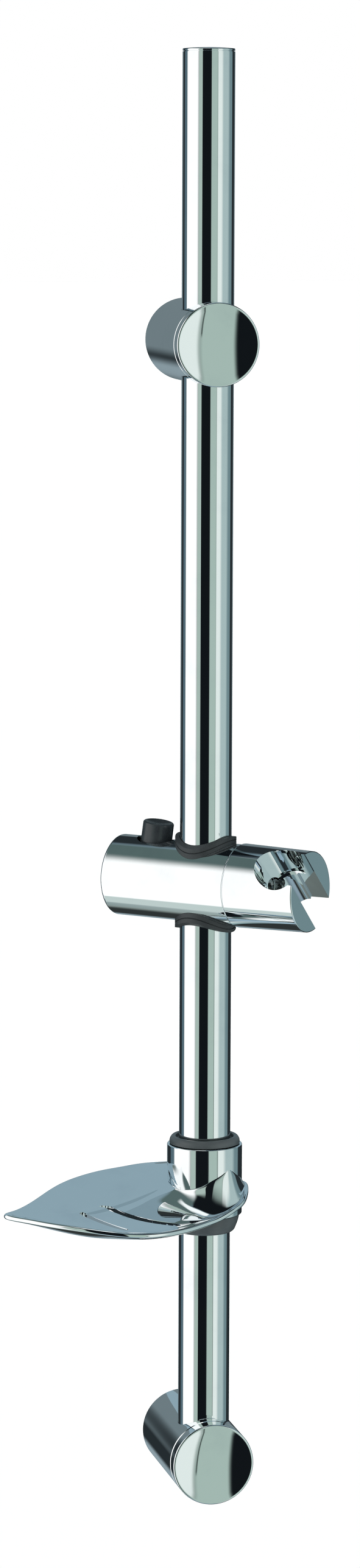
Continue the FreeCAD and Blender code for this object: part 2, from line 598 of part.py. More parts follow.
def build_brake():
    pin = new_body("lever_pin")
    flat = new_sketch(pin, "pin_circle", "XZ_Plane", "dims.lever_pin_reach")
    draw_circle(flat, "-dims.lever_place", "dims.lever_pin_height", "dims.lever_pin_diameter")
    rod = pin.newObject("PartDesign::Pad", "pin_rod")
    rod.Profile = flat
    rod.Reversed = True
    rod.setExpression("Length", "dims.lever_pin_length")
    doc.recompute()
    keep(pin, "lever_pin", SLIDER_AT)

    shoe = new_body("brake_shoe")
    front = "-dims.rail_diameter / 2"
    back = f"({front} - dims.slide_clearance - dims.sleeve_wall - dims.shoe_gap - dims.shoe_length)"
    revolve(shoe, "shoe_turned", "XZ_Plane", "H_Axis", [
        (back, "0"),
        (back, "dims.shoe_diameter / 2"),
        (front, "dims.shoe_diameter / 2"),
        (front, "0"),
    ])
    drill(shoe, "shoe_hollow", "XY_Plane", "0", "0", f"2 * ({SLEEVE_R} + dims.shoe_gap)", both_ways=True)
    notch = new_sketch(shoe, "shoe_notch_outline", "XY_Plane")
    near = f"({NOSE_X} - dims.arm_nose - {NOSE_GAP})"
    far = f"({NOSE_X} + dims.arm_nose + dims.arm_width / 2)"
    half_y = f"(dims.arm_thickness / 2 + {NOSE_GAP})"
    draw_outline(notch, [(near, f"-{half_y}"), (far, f"-{half_y}"), (far, half_y), (near, half_y)])
    cut_out(shoe, "shoe_notch", notch, both_ways=True)
    keep(shoe, "brake_shoe", SLIDER_AT)

    coil_r = "((dims.spring_diameter - dims.spring_wire) / 2)"
    halves = round(2 * size("dims.spring_turns"))
    rise = f"(({back} + dims.shoe_bore_depth - dims.spring_wire) / dims.spring_turns / 2)"
    tilt = Rotation(Y_AXIS, math.degrees(math.atan(size(rise) / 2 / size(coil_r))))
    coils = []
    for half in range(halves):
        turn = Rotation(Z_AXIS, 180 * (half % 2)) * tilt
        coils.append(primitive("Torus", f"spring_half_{half + 1}", Angle3="180", turn=turn,
                               Radius1=f"sqrt({coil_r} * {coil_r} + {rise} * {rise} / 4)",
                               Radius2="dims.spring_wire / 2",
                               z=f"dims.spring_wire / 2 + {rise} * {half + 0.5}"))
    spring = combine("Fuse", "brake_spring", *coils)
    from_floor = Placement(Vector(-size("dims.shoe_bore_depth"), 0, 0), Rotation(Y_AXIS, 90))
    keep(spring, "brake_spring", SLIDER_AT * from_floor)


def build_lever():
    """the knob and its arm in one line, upright about the pin, then leaned towards the tube"""
    body = new_body("lock_lever")
    along = "/ cos(dims.knob_lean)"
    foot = f"((dims.knob_foot - dims.lever_pin_height) {along})"
    top = f"((dims.knob_top - dims.lever_pin_height) {along})"
    knob_r = "(dims.knob_diameter / 2)"
    revolve(body, "knob", "XZ_Plane", "V_Axis", [
        ("0", foot),
        (knob_r, foot),
        (knob_r, top),
        (f"{knob_r} - dims.knob_round * 1.2", top),
        ("0", f"{top} - dims.knob_hollow"),
    ], through={3: "pole"})
    rim = lambda edge: is_ring(edge, Z_AXIS, size(top), size(knob_r))
    dress_edges(body, "Fillet", "knob_edge", "dims.knob_round", rim)
    nose_z = f"(-dims.lever_pin_height {along})"
    arm = new_sketch(body, "arm_outline", "XZ_Plane")
    half = "dims.arm_width / 2"
    draw_outline(arm, [(f"-{half}", nose_z), (half, nose_z), (half, f"{foot} + dims.knob_round"),
                       (f"-{half}", f"{foot} + dims.knob_round")])
    eye = new_sketch(body, "eye_circle", "XZ_Plane")
    draw_circle(eye, "0", "0", "dims.lever_eye")
    nose = new_sketch(body, "nose_circle", "XZ_Plane")
    draw_circle(nose, "0", nose_z, "2 * dims.arm_nose")
    for name, sketch in (("arm", arm), ("arm_eye", eye), ("arm_nose", nose)):
        pad = body.newObject("PartDesign::Pad", name)
        pad.Profile = sketch
        pad.SideType = "Symmetric"
        pad.setExpression("Length", "dims.arm_thickness")
        doc.recompute()
    drill(body, "eye_hole", "XZ_Plane", "0", "0", "dims.lever_pin_diameter + 2 * dims.turn_clearance",
          both_ways=True)
    at_pin = Placement(Vector(-size("dims.lever_place"), 0, size("dims.lever_pin_height")),
                       Rotation(Y_AXIS, size("dims.knob_lean")))
    keep(body, "lock_lever", SLIDER_AT * at_pin)


def build_holder():
    body = new_body("handset_holder")
    recess_end = f"({PIVOT_END} + dims.joint_gap)"
    root = "(dims.slider_shoulder + dims.holder_gap)"
    pivot_r = f"({PIVOT_R} + dims.turn_clearance)"
    screw_r = "(dims.pivot_screw_diameter / 2 + dims.joint_gap / 2)"
    access_r = "dims.pivot_head_access / 2"
    revolve(body, "holder_turned", "XZ_Plane", "H_Axis", [
        (root, pivot_r),
        (root, "dims.holder_root_diameter / 2"),
        ("dims.holder_end", "dims.holder_tip_diameter / 2"),
        ("dims.holder_end", "0"),
        ("dims.socket_place", "0"),
        ("dims.socket_place", access_r),
        (WEB_END, access_r),
        (WEB_END, screw_r),
        (recess_end, screw_r),
        (recess_end, pivot_r),
    ])
    ends = (("dims.holder_end", "dims.holder_tip_diameter / 2"), (root, "dims.holder_root_diameter / 2"))
    rims = lambda edge: any(is_ring(edge, X_AXIS, size(s), size(r)) for s, r in ends)
    dress_edges(body, "Fillet", "holder_edges", "dims.holder_round", rims)
    throat, seat, mouth = (f"dims.{n} / 2" for n in ("socket_throat", "socket_seat", "socket_mouth"))
    above = "dims.holder_tip_diameter / 2"
    revolve(body, "socket", "XZ_Plane", "V_Axis", [
        ("0", "-dims.holder_root_diameter"),
        (throat, "-dims.holder_root_diameter"),
        (throat, "dims.socket_ledge"),
        (seat, "dims.socket_ledge"),
        (mouth, f"{above} - dims.mouth_flare"),
        (f"{mouth} + dims.mouth_flare * 2", f"{above} + dims.mouth_flare"),
        ("0", f"{above} + dims.mouth_flare"),
    ], cut=True, sideways="dims.socket_place")
    slot = new_sketch(body, "slot_outline", "XY_Plane")
    end = "dims.holder_end + dims.holder_root_diameter"
    draw_outline(slot, [
        ("dims.socket_place", "-dims.slot_width / 2"),
        (end, "-dims.slot_width / 2"),
        (end, "dims.slot_width / 2"),
        ("dims.socket_place", "dims.slot_width / 2"),
    ])
    cut_out(body, "hose_slot", slot, both_ways=True)
    keep(body, "handset_holder", HOLDER_AT)

    washer = new_body("friction_washer")
    revolve(washer, "washer_ring", "XZ_Plane", "H_Axis", [
        (WEB_END, screw_r),
        (WEB_END, f"{access_r} - dims.joint_gap / 2"),
        (f"{WEB_END} + dims.washer_thickness", f"{access_r} - dims.joint_gap / 2"),
        (f"{WEB_END} + dims.washer_thickness", screw_r),
    ])
    keep(washer, "friction_washer", SLIDER_AT)

    screw = new_body("pivot_screw")
    under_head = f"({WEB_END} + dims.washer_thickness)"
    head_end = f"({under_head} + dims.pivot_head_length)"
    revolve(screw, "pivot_screw_turned", "XZ_Plane", "H_Axis", [
        (f"{PIVOT_END} - dims.pivot_screw_depth", "0"),
        (f"{PIVOT_END} - dims.pivot_screw_depth", "dims.pivot_screw_diameter / 2"),
        (under_head, "dims.pivot_screw_diameter / 2"),
        (under_head, "dims.pivot_head_diameter / 2"),
        (f"{head_end} - dims.joint_gap", "dims.pivot_head_diameter / 2"),
        (head_end, "dims.pivot_head_diameter / 2 - dims.joint_gap"),
        (head_end, "0"),
    ])
    hexagon = new_sketch(screw, "pivot_hexagon", "YZ_Plane", head_end)
    corner = "(dims.pivot_head_diameter / 4 / cos(30))"
    draw_outline(hexagon, [(f"{corner} * cos({60 * k})", f"{corner} * sin({60 * k})") for k in range(6)])
    cut_out(screw, "pivot_socket", hexagon, "dims.pivot_head_length * 0.6")
    keep(screw, "pivot_screw", SLIDER_AT)


# The soap dish turns on a plastic bush that grips the tube. Heights are from the collar's top.

DISH_AT = Placement(Vector(0, -size("dims.wall_distance"), size("dims.dish_height")), Rotation())


def build_dish_mount():
    bush = new_body("dish_bush")
    bush_r = "dims.bush_diameter / 2"
    flange_r = "dims.bush_flange_diameter / 2"
    top = "(dims.dish_gap + dims.bush_flange_height)"
    revolve(bush, "bush_turned", "XZ_Plane", "V_Axis", [
        (RAIL_BORE_R, "-dims.collar_length - dims.dish_gap - dims.bush_thread"),
        (bush_r, "-dims.collar_length - dims.dish_gap - dims.bush_thread"),
        (bush_r, "dims.dish_gap"),
        (flange_r, "dims.dish_gap"),
        (flange_r, f"{top} * 0.48"),
        (f"{flange_r} - 0.28 * {top}", f"{top} * 0.87"),
        (f"{RAIL_BORE_R} + dims.bush_lead", top),
        (RAIL_BORE_R, f"{top} - dims.bush_lead"),
    ], through={
        4: (f"{flange_r} - 0.095 * {top}", f"{top} * 0.7"),
        5: (f"({flange_r} - 0.25 * {top} + {RAIL_BORE_R} + dims.bush_lead) / 2", f"{top} * 0.96"),
    })
    keep(bush, "dish_bush", DISH_AT)

    ring = new_body("dish_lock_ring")
    head = "(-dims.collar_length - dims.dish_gap)"
    foot = f"({head} - dims.lock_ring_height)"
    thread_r = "(dims.bush_diameter / 2 + dims.seat_clearance)"
    inside = "(dims.rail_diameter / 2 + dims.seal_gap)"
    revolve(ring, "ring_turned", "XZ_Plane", "V_Axis", [
        (thread_r, head),
        ("dims.lock_ring_diameter / 2", head),
        ("dims.lock_ring_foot / 2 + dims.lock_ring_height / 10", f"{foot} + dims.lock_ring_height / 4"),
        ("dims.lock_ring_foot / 2 - dims.lock_ring_height / 12", foot),
        (inside, foot),
        (inside, f"{head} - dims.bush_thread - dims.seat_clearance"),
        (thread_r, f"{head} - dims.bush_thread - dims.seat_clearance"),
    ], through={2: ("dims.lock_ring_foot / 2 + dims.lock_ring_height * 0.045",
                    f"{foot} + dims.lock_ring_height * 0.09")})
    keep(ring, "dish_lock_ring", DISH_AT)


# The dish is a leaf that winds round its collar: a shallow blade to the left that turns into a
# steep skirt in front. All numbers are shares of dish_reach in percent.
# One row a radial section: angle, reach, then the depth under the collar's top at the collar, at
# one third and two thirds of the way out, and at the rim.
DISH_SECTIONS = (
    (88, 19.2, 11.8, 11.8, 11.9, 12.0),
    (112, 28.3, 12.1, 12.5, 13.3, 14.0),
    (135, 46.7, 13.5, 15.0, 17.0, 17.9),
    (158, 62.4, 15.4, 19.6, 21.8, 20.1),
    (174, 76.0, 17.2, 24.8, 27.4, 24.2),
    (186.7, 100.0, 18.4, 28.6, 33.4, 27.6),
    (203, 83.7, 19.3, 30.6, 36.6, 28.4),
    (222, 68.0, 19.4, 30.2, 35.6, 31.2),
    (241, 47.0, 18.2, 26.0, 32.6, 31.5),
    (258, 32.6, 15.4, 21.8, 27.6, 30.9),
    (275, 27.8, 11.8, 17.4, 23.4, 29.3),
    (292, 25.8, 8.4, 14.2, 19.6, 27.6),
    (312, 23.8, 10.2, 14.6, 19.0, 25.6),
    (334, 22.4, 15.8, 17.6, 19.8, 23.2),
    (356, 20.9, 18.4, 18.7, 19.3, 20.6),
    (388, 18.6, 18.2, 18.3, 18.5, 18.7),
)
# The rim seen from above: angle and reach.
DISH_RIM = (
    (96, 21.6), (106, 26.2), (117, 33.8), (128, 42.8), (142.4, 51.2), (156.6, 61.3), (171.7, 74.0),
    (180.6, 85.8), (184.3, 93.8), (186.7, 100.0), (188.9, 97.0), (194.2, 91.3), (203.5, 83.1),
    (212.8, 75.5), (224.2, 65.8), (235, 53.6), (245.4, 41.6), (259.2, 31.8), (280, 27.0),
    (300, 24.9), (320, 22.4), (340, 20.9), (360, 19.4),
)
# The drain slots, each an arc through three places: angle and reach.
DISH_SLOTS = (
    ((182.5, 50.4), (205.0, 40.8), (236.5, 34.2)),
    ((187.3, 61.4), (198.0, 55.0), (210.5, 50.8)),
)


def build_dish():
    reach, collar_r = size("dims.dish_reach"), size("dims.collar_diameter / 2")
    plate, wall = size("dims.dish_plate"), size("(dims.collar_diameter - dims.bush_diameter) / 2")
    percent = reach / 100

    def place(angle, share, z=0.0):
        turn = math.radians(angle)
        return Vector(share * percent * math.cos(turn), share * percent * math.sin(turn), z)

    def section(angle, share, *drops):
        """places on the upper and under side in one radial plane, from the collar's wall outwards"""
        first = collar_r - wall * 0.6
        step = (share * percent - first) / 3
        heights = [-drop * percent for drop in drops]
        slopes = [(heights[i + 1] - heights[i]) / step for i in range(3)]
        under = [heights[i] - plate * math.hypot(1, slopes[i]) for i in range(3)]
        under.append(heights[3] - plate)
        turn = math.radians(angle)
        sides = []
        for level in (heights, under):
            level = level + [level[3] + 0.8 * (heights[3] - heights[2])]
            at = [(first + step * i, z) for i, z in enumerate(level)]
            sides.append([Vector(r * math.cos(turn), r * math.sin(turn), z) for r, z in at])
        return sides

    skins = []
    for side in zip(*[section(*row) for row in DISH_SECTIONS]):
        skin = Part.BSplineSurface()
        skin.interpolate(list(side))
        skins.append(skin.toShape())
    edges = [Part.makeRuledSurface(*pair) for pair in zip(skins[0].Edges, skins[1].Edges)]
    shell = Part.makeShell(skins + edges)
    shell.sewShape()
    blade = Part.Solid(shell)
    rim = Part.BSplineCurve()
    inside = collar_r - wall / 2
    ends = [place(angle, inside / percent) for angle in (84, 390)]
    rim.interpolate([ends[0]] + [place(*row) for row in DISH_RIM] + [ends[1]])
    outline = Part.Wire([rim.toShape(), Part.makeLine(ends[1], ends[0])])
    depth = 0.5 * reach
    leaf = Part.Face(outline).extrude(Vector(0, 0, -depth))
    blade = blade.common(leaf)
    height = size("dims.collar_length")
    collar = Part.makeCylinder(collar_r, height, Vector(0, 0, -height))
    dish = blade.fuse(collar)
    cuts = [Part.makeCylinder(size("dims.bush_diameter / 2 + dims.turn_clearance"), 4 * height,
                              Vector(0, 0, -3 * height))]
    for marks in DISH_SLOTS:
        middle_line = Part.Wire(Part.Arc(*[place(*mark) for mark in marks]).toShape())
        slot = middle_line.makeOffset2D(size("dims.dish_slot / 2"), 0, False, False)
        cuts.append(Part.Face(slot).extrude(Vector(0, 0, -depth)))
    dish = dish.cut(cuts).removeSplitter()
    feature = doc.addObject("Part::Feature", "soap_dish")
    feature.Shape = dish
    keep(feature, "soap_dish", DISH_AT)


build_rail()
build_slider()
build_brake()
build_lever()
build_holder()
build_dish_mount()
build_dish()
build_bracket("lower", "0 * dims.bracket_spacing", blind=True)
build_bracket("upper", "dims.bracket_spacing", blind=False)

doc.recompute()
faults = [f"{o.Name} {o.State}" for o in doc.Objects if {"Invalid", "Error"} & set(o.State)]
faults += [p.Label for p in sub_parts if p.Shape.isNull() or not p.Shape.isValid()]
if faults:
    raise RuntimeError("failed: " + ", ".join(faults))

os.makedirs("parts", exist_ok=True)
for part in sub_parts:
    part.Shape.exportStep(f"parts/{part.Label}.step")
    box = part.Shape.BoundBox
    print(f"{part.Label}: {len(part.Shape.Solids)} solid, {part.Shape.Volume:.0f} mm3,"
          f" z {box.ZMin:.1f} to {box.ZMax:.1f}")
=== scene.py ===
import bmesh, bpy, json, math
from mathutils import Matrix, Vector


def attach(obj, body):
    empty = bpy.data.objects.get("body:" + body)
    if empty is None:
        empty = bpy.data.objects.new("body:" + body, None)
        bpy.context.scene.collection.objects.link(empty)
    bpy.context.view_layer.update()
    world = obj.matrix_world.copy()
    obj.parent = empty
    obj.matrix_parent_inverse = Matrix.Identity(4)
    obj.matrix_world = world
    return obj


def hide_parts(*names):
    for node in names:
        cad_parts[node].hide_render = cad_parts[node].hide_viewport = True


mm = 0.001

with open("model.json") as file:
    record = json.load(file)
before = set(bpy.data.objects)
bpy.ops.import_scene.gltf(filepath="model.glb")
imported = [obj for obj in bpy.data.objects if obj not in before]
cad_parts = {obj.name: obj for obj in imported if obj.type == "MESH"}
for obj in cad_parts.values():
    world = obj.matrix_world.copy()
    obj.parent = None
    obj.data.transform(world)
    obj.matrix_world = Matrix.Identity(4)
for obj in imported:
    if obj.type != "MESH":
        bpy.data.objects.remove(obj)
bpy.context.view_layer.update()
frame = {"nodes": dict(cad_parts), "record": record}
print("stage: frame loaded")


# shader maths: a Signal is one socket, and sums and products of Signals add their nodes
class Signal:
    def __init__(self, tree, socket):
        self.tree, self.socket = tree, socket

    def node(self, kind, settings=None, **values):
        made = self.tree.nodes.new(kind)
        for name, value in (settings or {}).items():
            setattr(made, name, value)
        for name, value in values.items():
            into = made.inputs[int(name[1:])] if name[0] == "_" else made.inputs[name.replace("_", " ")]
            if isinstance(value, Signal):
                self.tree.links.new(value.socket, into)
            else:
                into.default_value = value
        return made

    def maths(self, operation, *others):
        values = {f"_{i}": other for i, other in enumerate((self,) + others)}
        return Signal(self.tree, self.node("ShaderNodeMath", {"operation": operation}, **values).outputs[0])

    def __add__(self, other): return self.maths("ADD", other)
    def __radd__(self, other): return self.maths("ADD", other)
    def __sub__(self, other): return self.maths("SUBTRACT", other)
    def __rsub__(self, other): return Signal.lift(self, other).maths("SUBTRACT", self)
    def __mul__(self, other): return self.maths("MULTIPLY", other)
    def __rmul__(self, other): return self.maths("MULTIPLY", other)

    @staticmethod
    def lift(near, number):
        value = near.node("ShaderNodeValue")
        value.outputs[0].default_value = number
        return Signal(near.tree, value.outputs[0])

    def rise(self, start, width):
        # 0 before start, 1 after start + width, smooth between
        found = self.node("ShaderNodeMapRange", {"interpolation_type": "SMOOTHSTEP"}, Value=self,
                          From_Min=start, From_Max=start + width)
        return Signal(self.tree, found.outputs["Result"])

    def band(self, low, high, softLow, softHigh):
        return self.rise(low - softLow / 2, softLow) * (1 - self.rise(high - softHigh / 2, softHigh))

    def blend(self, first, second):
        # first where this is 0, second where it is 1
        mixer = self.node("ShaderNodeMix", {"data_type": "RGBA"})
        self.tree.links.new(self.socket, mixer.inputs[0])
        for value, into in ((first, mixer.inputs[6]), (second, mixer.inputs[7])):
            if isinstance(value, Signal):
                self.tree.links.new(value.socket, into)
            else:
                into.default_value = (*value, 1)
        return Signal(self.tree, mixer.outputs[2])


# the camera, as it was solved from the straight outlines in the photograph
cameraSettings = {"place": (-0.51237, -2.21684, 0.63932), "headingDeg": 12.967, "pitchDeg": 7.857,
                  "rollDeg": 0.189, "lens": 107.224, "farthest": 60}


def placeCamera(settings):
    heading, pitch, roll = (math.radians(settings[k]) for k in ("headingDeg", "pitchDeg", "rollDeg"))
    forward = Vector((math.sin(heading) * math.cos(pitch), math.cos(heading) * math.cos(pitch),
                      -math.sin(pitch)))
    level = Vector((math.cos(heading), -math.sin(heading), 0))
    upright = level.cross(forward)
    right = level * math.cos(roll) + upright * math.sin(roll)
    up = upright * math.cos(roll) - level * math.sin(roll)
    bpy.ops.object.camera_add(location=settings["place"])
    camera = bpy.context.object
    camera.data.lens = settings["lens"]
    camera.data.clip_end = settings["farthest"]
    turn = Matrix((right, up, -forward)).transposed().to_4x4()
    camera.matrix_world = Matrix.Translation(settings["place"]) @ turn
    bpy.context.scene.camera = camera


placeCamera(cameraSettings)

# studio: large soft panels round the object, given by their azimuth from the camera's side
# (minus is left) and their elevation, in degrees; later panels lie over earlier ones
studioSettings = {
    "rear": (0.020, 0.027, 0.031),
    "panels": [
        # name, from, to, softness of both edges, low, high, softness of both edges, colour
        ("backdropLeft", -186, -148, 8, 4, -8, 24, 6, 8, (0.165, 0.215, 0.235)),
        ("backdropRight", 152, 186, 8, 4, -8, 24, 6, 8, (0.165, 0.215, 0.235)),
        ("backdropLow", -181, -162, 1, 8, -50, -9, 10, 12, (0.27, 0.35, 0.39)),
        ("rearFloor", -181, 181, 1, 1, -100, -34, 1, 12, (0.030, 0.036, 0.036)),
        ("ceiling", -181, 181, 1, 1, 56, 100, 8, 1, (0.22, 0.32, 0.375)),
        ("ceilingLeft", -140, -44, 14, 10, 34, 100, 10, 1, (0.095, 0.145, 0.142)),
        ("floorLeft", -135, -20, 30, 20, -90, -44, 20, 4, (0.36, 0.44, 0.42)),
        ("floorFront", -75, 75, 20, 20, -100, -56, 1, 10, (0.36, 0.50, 0.59)),
        ("floorNear", -110, -44, 20, 20, -64, -44, 10, 3, (0.56, 0.66, 0.64)),
        ("rightWall", 66, 124, 30, 6, -58, 46, 10, 30, (0.165, 0.255, 0.275)),
        ("rightSide", 60, 100, 10, 16, -58, 40, 10, 30, (0.41, 0.53, 0.53)),
        ("rightBox", 41, 64, 5, 12, -58, 34, 10, 20, (0.80, 0.88, 0.85)),
        ("rightFill", 12, 41, 5, 7, -50, 34, 10, 20, (0.40, 0.52, 0.47)),
        ("rightLine", 38.6, 39.8, 0.5, 0.5, -60, -9, 4, 5, (0.10, 0.13, 0.12)),
        ("leftBlue", -128, -106, 8, 8, -58, 40, 10, 14, (0.095, 0.155, 0.19)),
        ("leftBox", -107, -45, 8, 15, -48, 44, 3, 20, (1.12, 1.13, 1.12)),
        ("leftEdge", -44, -27, 4, 4, -48, 43, 3, 12, (0.42, 0.53, 0.48)),
        ("topBox", -70, 12, 20, 8, 64, 82, 5, 12, (1.0, 1.05, 1.05)),
        ("darkAbove", -44, 85, 8, 20, 38, 63, 8, 6, (0.006, 0.008, 0.010)),
        ("cameraGap", -27, 12, 3, 5, -50, 60, 10, 8, (0.006, 0.008, 0.010)),
    ],
}


def buildStudio(settings):
    world = bpy.data.worlds.new("studio")
    bpy.context.scene.world = world
    world.use_nodes = True
    tree = world.node_tree
    start = Signal(tree, tree.nodes["Background"].outputs[0])
    direction = start.node("ShaderNodeTexCoord").outputs["Generated"]
    turned = start.node("ShaderNodeMapping", {"vector_type": "VECTOR"}, Vector=Signal(tree, direction),
                        Rotation=(0, 0, math.radians(cameraSettings["headingDeg"])))
    parts = start.node("ShaderNodeSeparateXYZ", Vector=Signal(tree, turned.outputs[0]))
    x, y, z = (Signal(tree, parts.outputs[i]) for i in range(3))
    azimuth = x.maths("ARCTAN2", y * -1) * math.degrees(1)
    elevation = z.maths("ARCSINE") * math.degrees(1)
    colour = Signal(tree, start.node("ShaderNodeRGB").outputs[0])
    colour.socket.default_value = (*settings["rear"], 1)
    for name, left, right, softLeft, softRight, low, high, softLow, softHigh, shade in settings["panels"]:
        mask = azimuth.band(left, right, softLeft, softRight) * elevation.band(low, high, softLow, softHigh)
        colour = mask.blend(colour, shade)
    # what isn't a reflection sees plain white
    path = start.node("ShaderNodeLightPath")
    seen, diffuse = (Signal(tree, path.outputs[name]) for name in ("Is Camera Ray", "Is Diffuse Ray"))
    colour = seen.maths("MAXIMUM", diffuse).blend(colour, (1, 1, 1))
    tree.links.new(colour.socket, tree.nodes["Background"].inputs["Color"])


buildStudio(studioSettings)
bpy.context.scene.view_settings.view_transform = "Standard"
print("stage: camera and studio")


# materials: every finish has its own fine detail, in millimetres on the piece
def newMaterial(name, colour, metallic=0.0, roughness=0.5, specular=0.5):
    material = bpy.data.materials.new(name)
    material.use_nodes = True
    shader = material.node_tree.nodes["Principled BSDF"]
    shader.inputs["Base Color"].default_value = (*colour, 1)
    shader.inputs["Metallic"].default_value = metallic
    shader.inputs["Roughness"].default_value = roughness
    shader.inputs["Specular IOR Level"].default_value = specular
    return material


def surfacePlace(material, stretch=(1, 1, 1)):
    # the place on the piece, scaled so that 1 is a millimetre
    tree = material.node_tree
    start = Signal(tree, tree.nodes["Principled BSDF"].outputs[0])
    place = Signal(tree, start.node("ShaderNodeTexCoord").outputs["Object"])
    scaled = start.node("ShaderNodeMapping", Vector=place, Scale=tuple(1000 * s for s in stretch))
    return Signal(tree, scaled.outputs[0])


def speckle(place, size, detail=2.0, roughness=0.5):
    made = place.node("ShaderNodeTexNoise", Vector=place, Scale=1 / size, Detail=detail,
                      Roughness=roughness)
    return Signal(place.tree, made.outputs[0])


def wearOn(material, heights, strength, reach, **outputs):
    # heights drive a bump; outputs go to the shader's named sockets
    tree = material.node_tree
    shader = tree.nodes["Principled BSDF"]
    bump = heights.node("ShaderNodeBump", Height=heights, Strength=strength, Distance=reach)
    tree.links.new(bump.outputs[0], shader.inputs["Normal"])
    for name, value in outputs.items():
        tree.links.new(value.socket, shader.inputs[name.replace("_", " ")])


finishSettings = {
    "chrome": {"colour": (0.90, 0.92, 0.93), "dull": (0.84, 0.86, 0.88), "smudgeSize": 22,
               "polishSize": 0.5, "roughness": 0.018, "smudge": 0.028, "ripple": 0.02},
    "knob": {"colour": (0.026, 0.033, 0.038), "light": (0.040, 0.049, 0.055), "roughness": 0.27,
             "grain": 0.16, "cloudSize": 9, "specular": 0.5},
    "rubber": {"colour": (0.032, 0.039, 0.042), "light": (0.048, 0.057, 0.061), "roughness": 0.46,
               "grain": 0.22, "cloudSize": 9, "specular": 0.4},
    "moulded": {"colour": (0.062, 0.076, 0.080), "light": (0.080, 0.096, 0.101), "roughness": 0.36,
                "grain": 0.2, "cloudSize": 9, "specular": 0.5},
    "grey": {"colour": (0.056, 0.069, 0.074), "light": (0.074, 0.090, 0.096), "roughness": 0.34,
             "grain": 0.2, "cloudSize": 9, "specular": 0.5},
    "cast": {"colour": (0.42, 0.43, 0.44), "dark": (0.30, 0.31, 0.32), "roughness": 0.42,
             "pitSize": 0.7, "stainSize": 6},
    "steel": {"colour": (0.56, 0.56, 0.55), "dark": (0.40, 0.40, 0.39), "roughness": 0.24,
              "lineSize": 0.12, "stretch": (1, 0.12, 1)},
}


def polishedChrome(settings):
    # bright plating: faint smudges where hands and water go, and the fine ripple that polishing leaves
    material = newMaterial("polishedChrome", settings["colour"], 1.0, settings["roughness"])
    place = surfacePlace(material)
    smudge = speckle(place, settings["smudgeSize"], 4, 0.6).rise(0.48, 0.3)
    polish = speckle(place, settings["polishSize"], 3, 0.55)
    colour = smudge.blend(settings["colour"], settings["dull"])
    wearOn(material, polish, settings["ripple"], 0.02 * mm, Base_Color=colour,
           Roughness=smudge * settings["smudge"] + settings["roughness"])
    return material


def mouldedPlastic(name, settings):
    # fine spark-eroded grain, a little paler where it is handled
    material = newMaterial(name, settings["colour"], 0.0, settings["roughness"], settings["specular"])
    place = surfacePlace(material)
    grain = speckle(place, settings["grain"], 3, 0.6)
    cloud = speckle(place, settings["cloudSize"], 3, 0.5).rise(0.42, 0.25)
    colour = (cloud * 0.6 + grain * 0.4).blend(settings["colour"], settings["light"])
    wearOn(material, grain, 0.28, 0.04 * mm, Base_Color=colour,
           Roughness=grain * 0.14 + cloud * 0.06 + (settings["roughness"] - 0.08))
    return material


def castMetal(settings):
    # die-cast zinc, left as it came: small pits and a darker stain
    material = newMaterial("castZinc", settings["colour"], 1.0, settings["roughness"])
    place = surfacePlace(material)
    pits = speckle(place, settings["pitSize"], 5, 0.65)
    stain = speckle(place, settings["stainSize"], 3, 0.5).rise(0.4, 0.3)
    wearOn(material, pits, 0.5, 0.08 * mm, Base_Color=stain.blend(settings["colour"], settings["dark"]),
           Roughness=pits * 0.3 + (settings["roughness"] - 0.1))
    return material


def brushedSteel(settings):
    # turned steel: fine lines, drawn as a noise that is stretched along one way
    material = newMaterial("turnedSteel", settings["colour"], 1.0, settings["roughness"])
    place = surfacePlace(material, settings["stretch"])
    lines = speckle(place, settings["lineSize"], 2, 0.5)
    wearOn(material, lines, 0.3, 0.02 * mm, Base_Color=lines.blend(settings["colour"], settings["dark"]),
           Roughness=lines * 0.16 + (settings["roughness"] - 0.06))
    return material


finishes = {
    "chrome": polishedChrome(finishSettings["chrome"]),
    "black_plastic": mouldedPlastic("knobPlastic", finishSettings["knob"]),
    "dark_plastic": mouldedPlastic("bushPlastic", finishSettings["moulded"]),
    "grey_plastic": mouldedPlastic("ringPlastic", finishSettings["grey"]),
    "rubber": mouldedPlastic("sealRubber", finishSettings["rubber"]),
    "cast_metal": castMetal(finishSettings["cast"]),
    "steel": brushedSteel(finishSettings["steel"]),
}
slotOf = {part["node"]: part["material_slot"] for part in frame["record"]["subparts"]}
for name, node in frame["nodes"].items():
    node.data.materials.clear()
    node.data.materials.append(finishes[slotOf[name]])
print("stage: finishes")


# modelling helpers; sizes are in millimetres and become metres here
def only(*pieces):
    bpy.ops.object.select_all(action="DESELECT")
    for piece in pieces:
        piece.select_set(True)
    bpy.context.view_layer.objects.active = pieces[0]


def selectWhere(piece, kind, test):
    # in edit mode: selects the vertices, edges or faces whose middle passes the test
    mesh = bmesh.from_edit_mesh(piece.data)
    bpy.context.tool_settings.mesh_select_mode = (kind == "verts", kind == "edges", kind == "faces")
    for vertex in mesh.verts:
        vertex.select = False
    for edge in mesh.edges:
        edge.select = False
    for face in mesh.faces:
        face.select = False
    for item in getattr(mesh, kind):
        if test(item):
            item.select_set(True)
    bmesh.update_edit_mesh(piece.data)


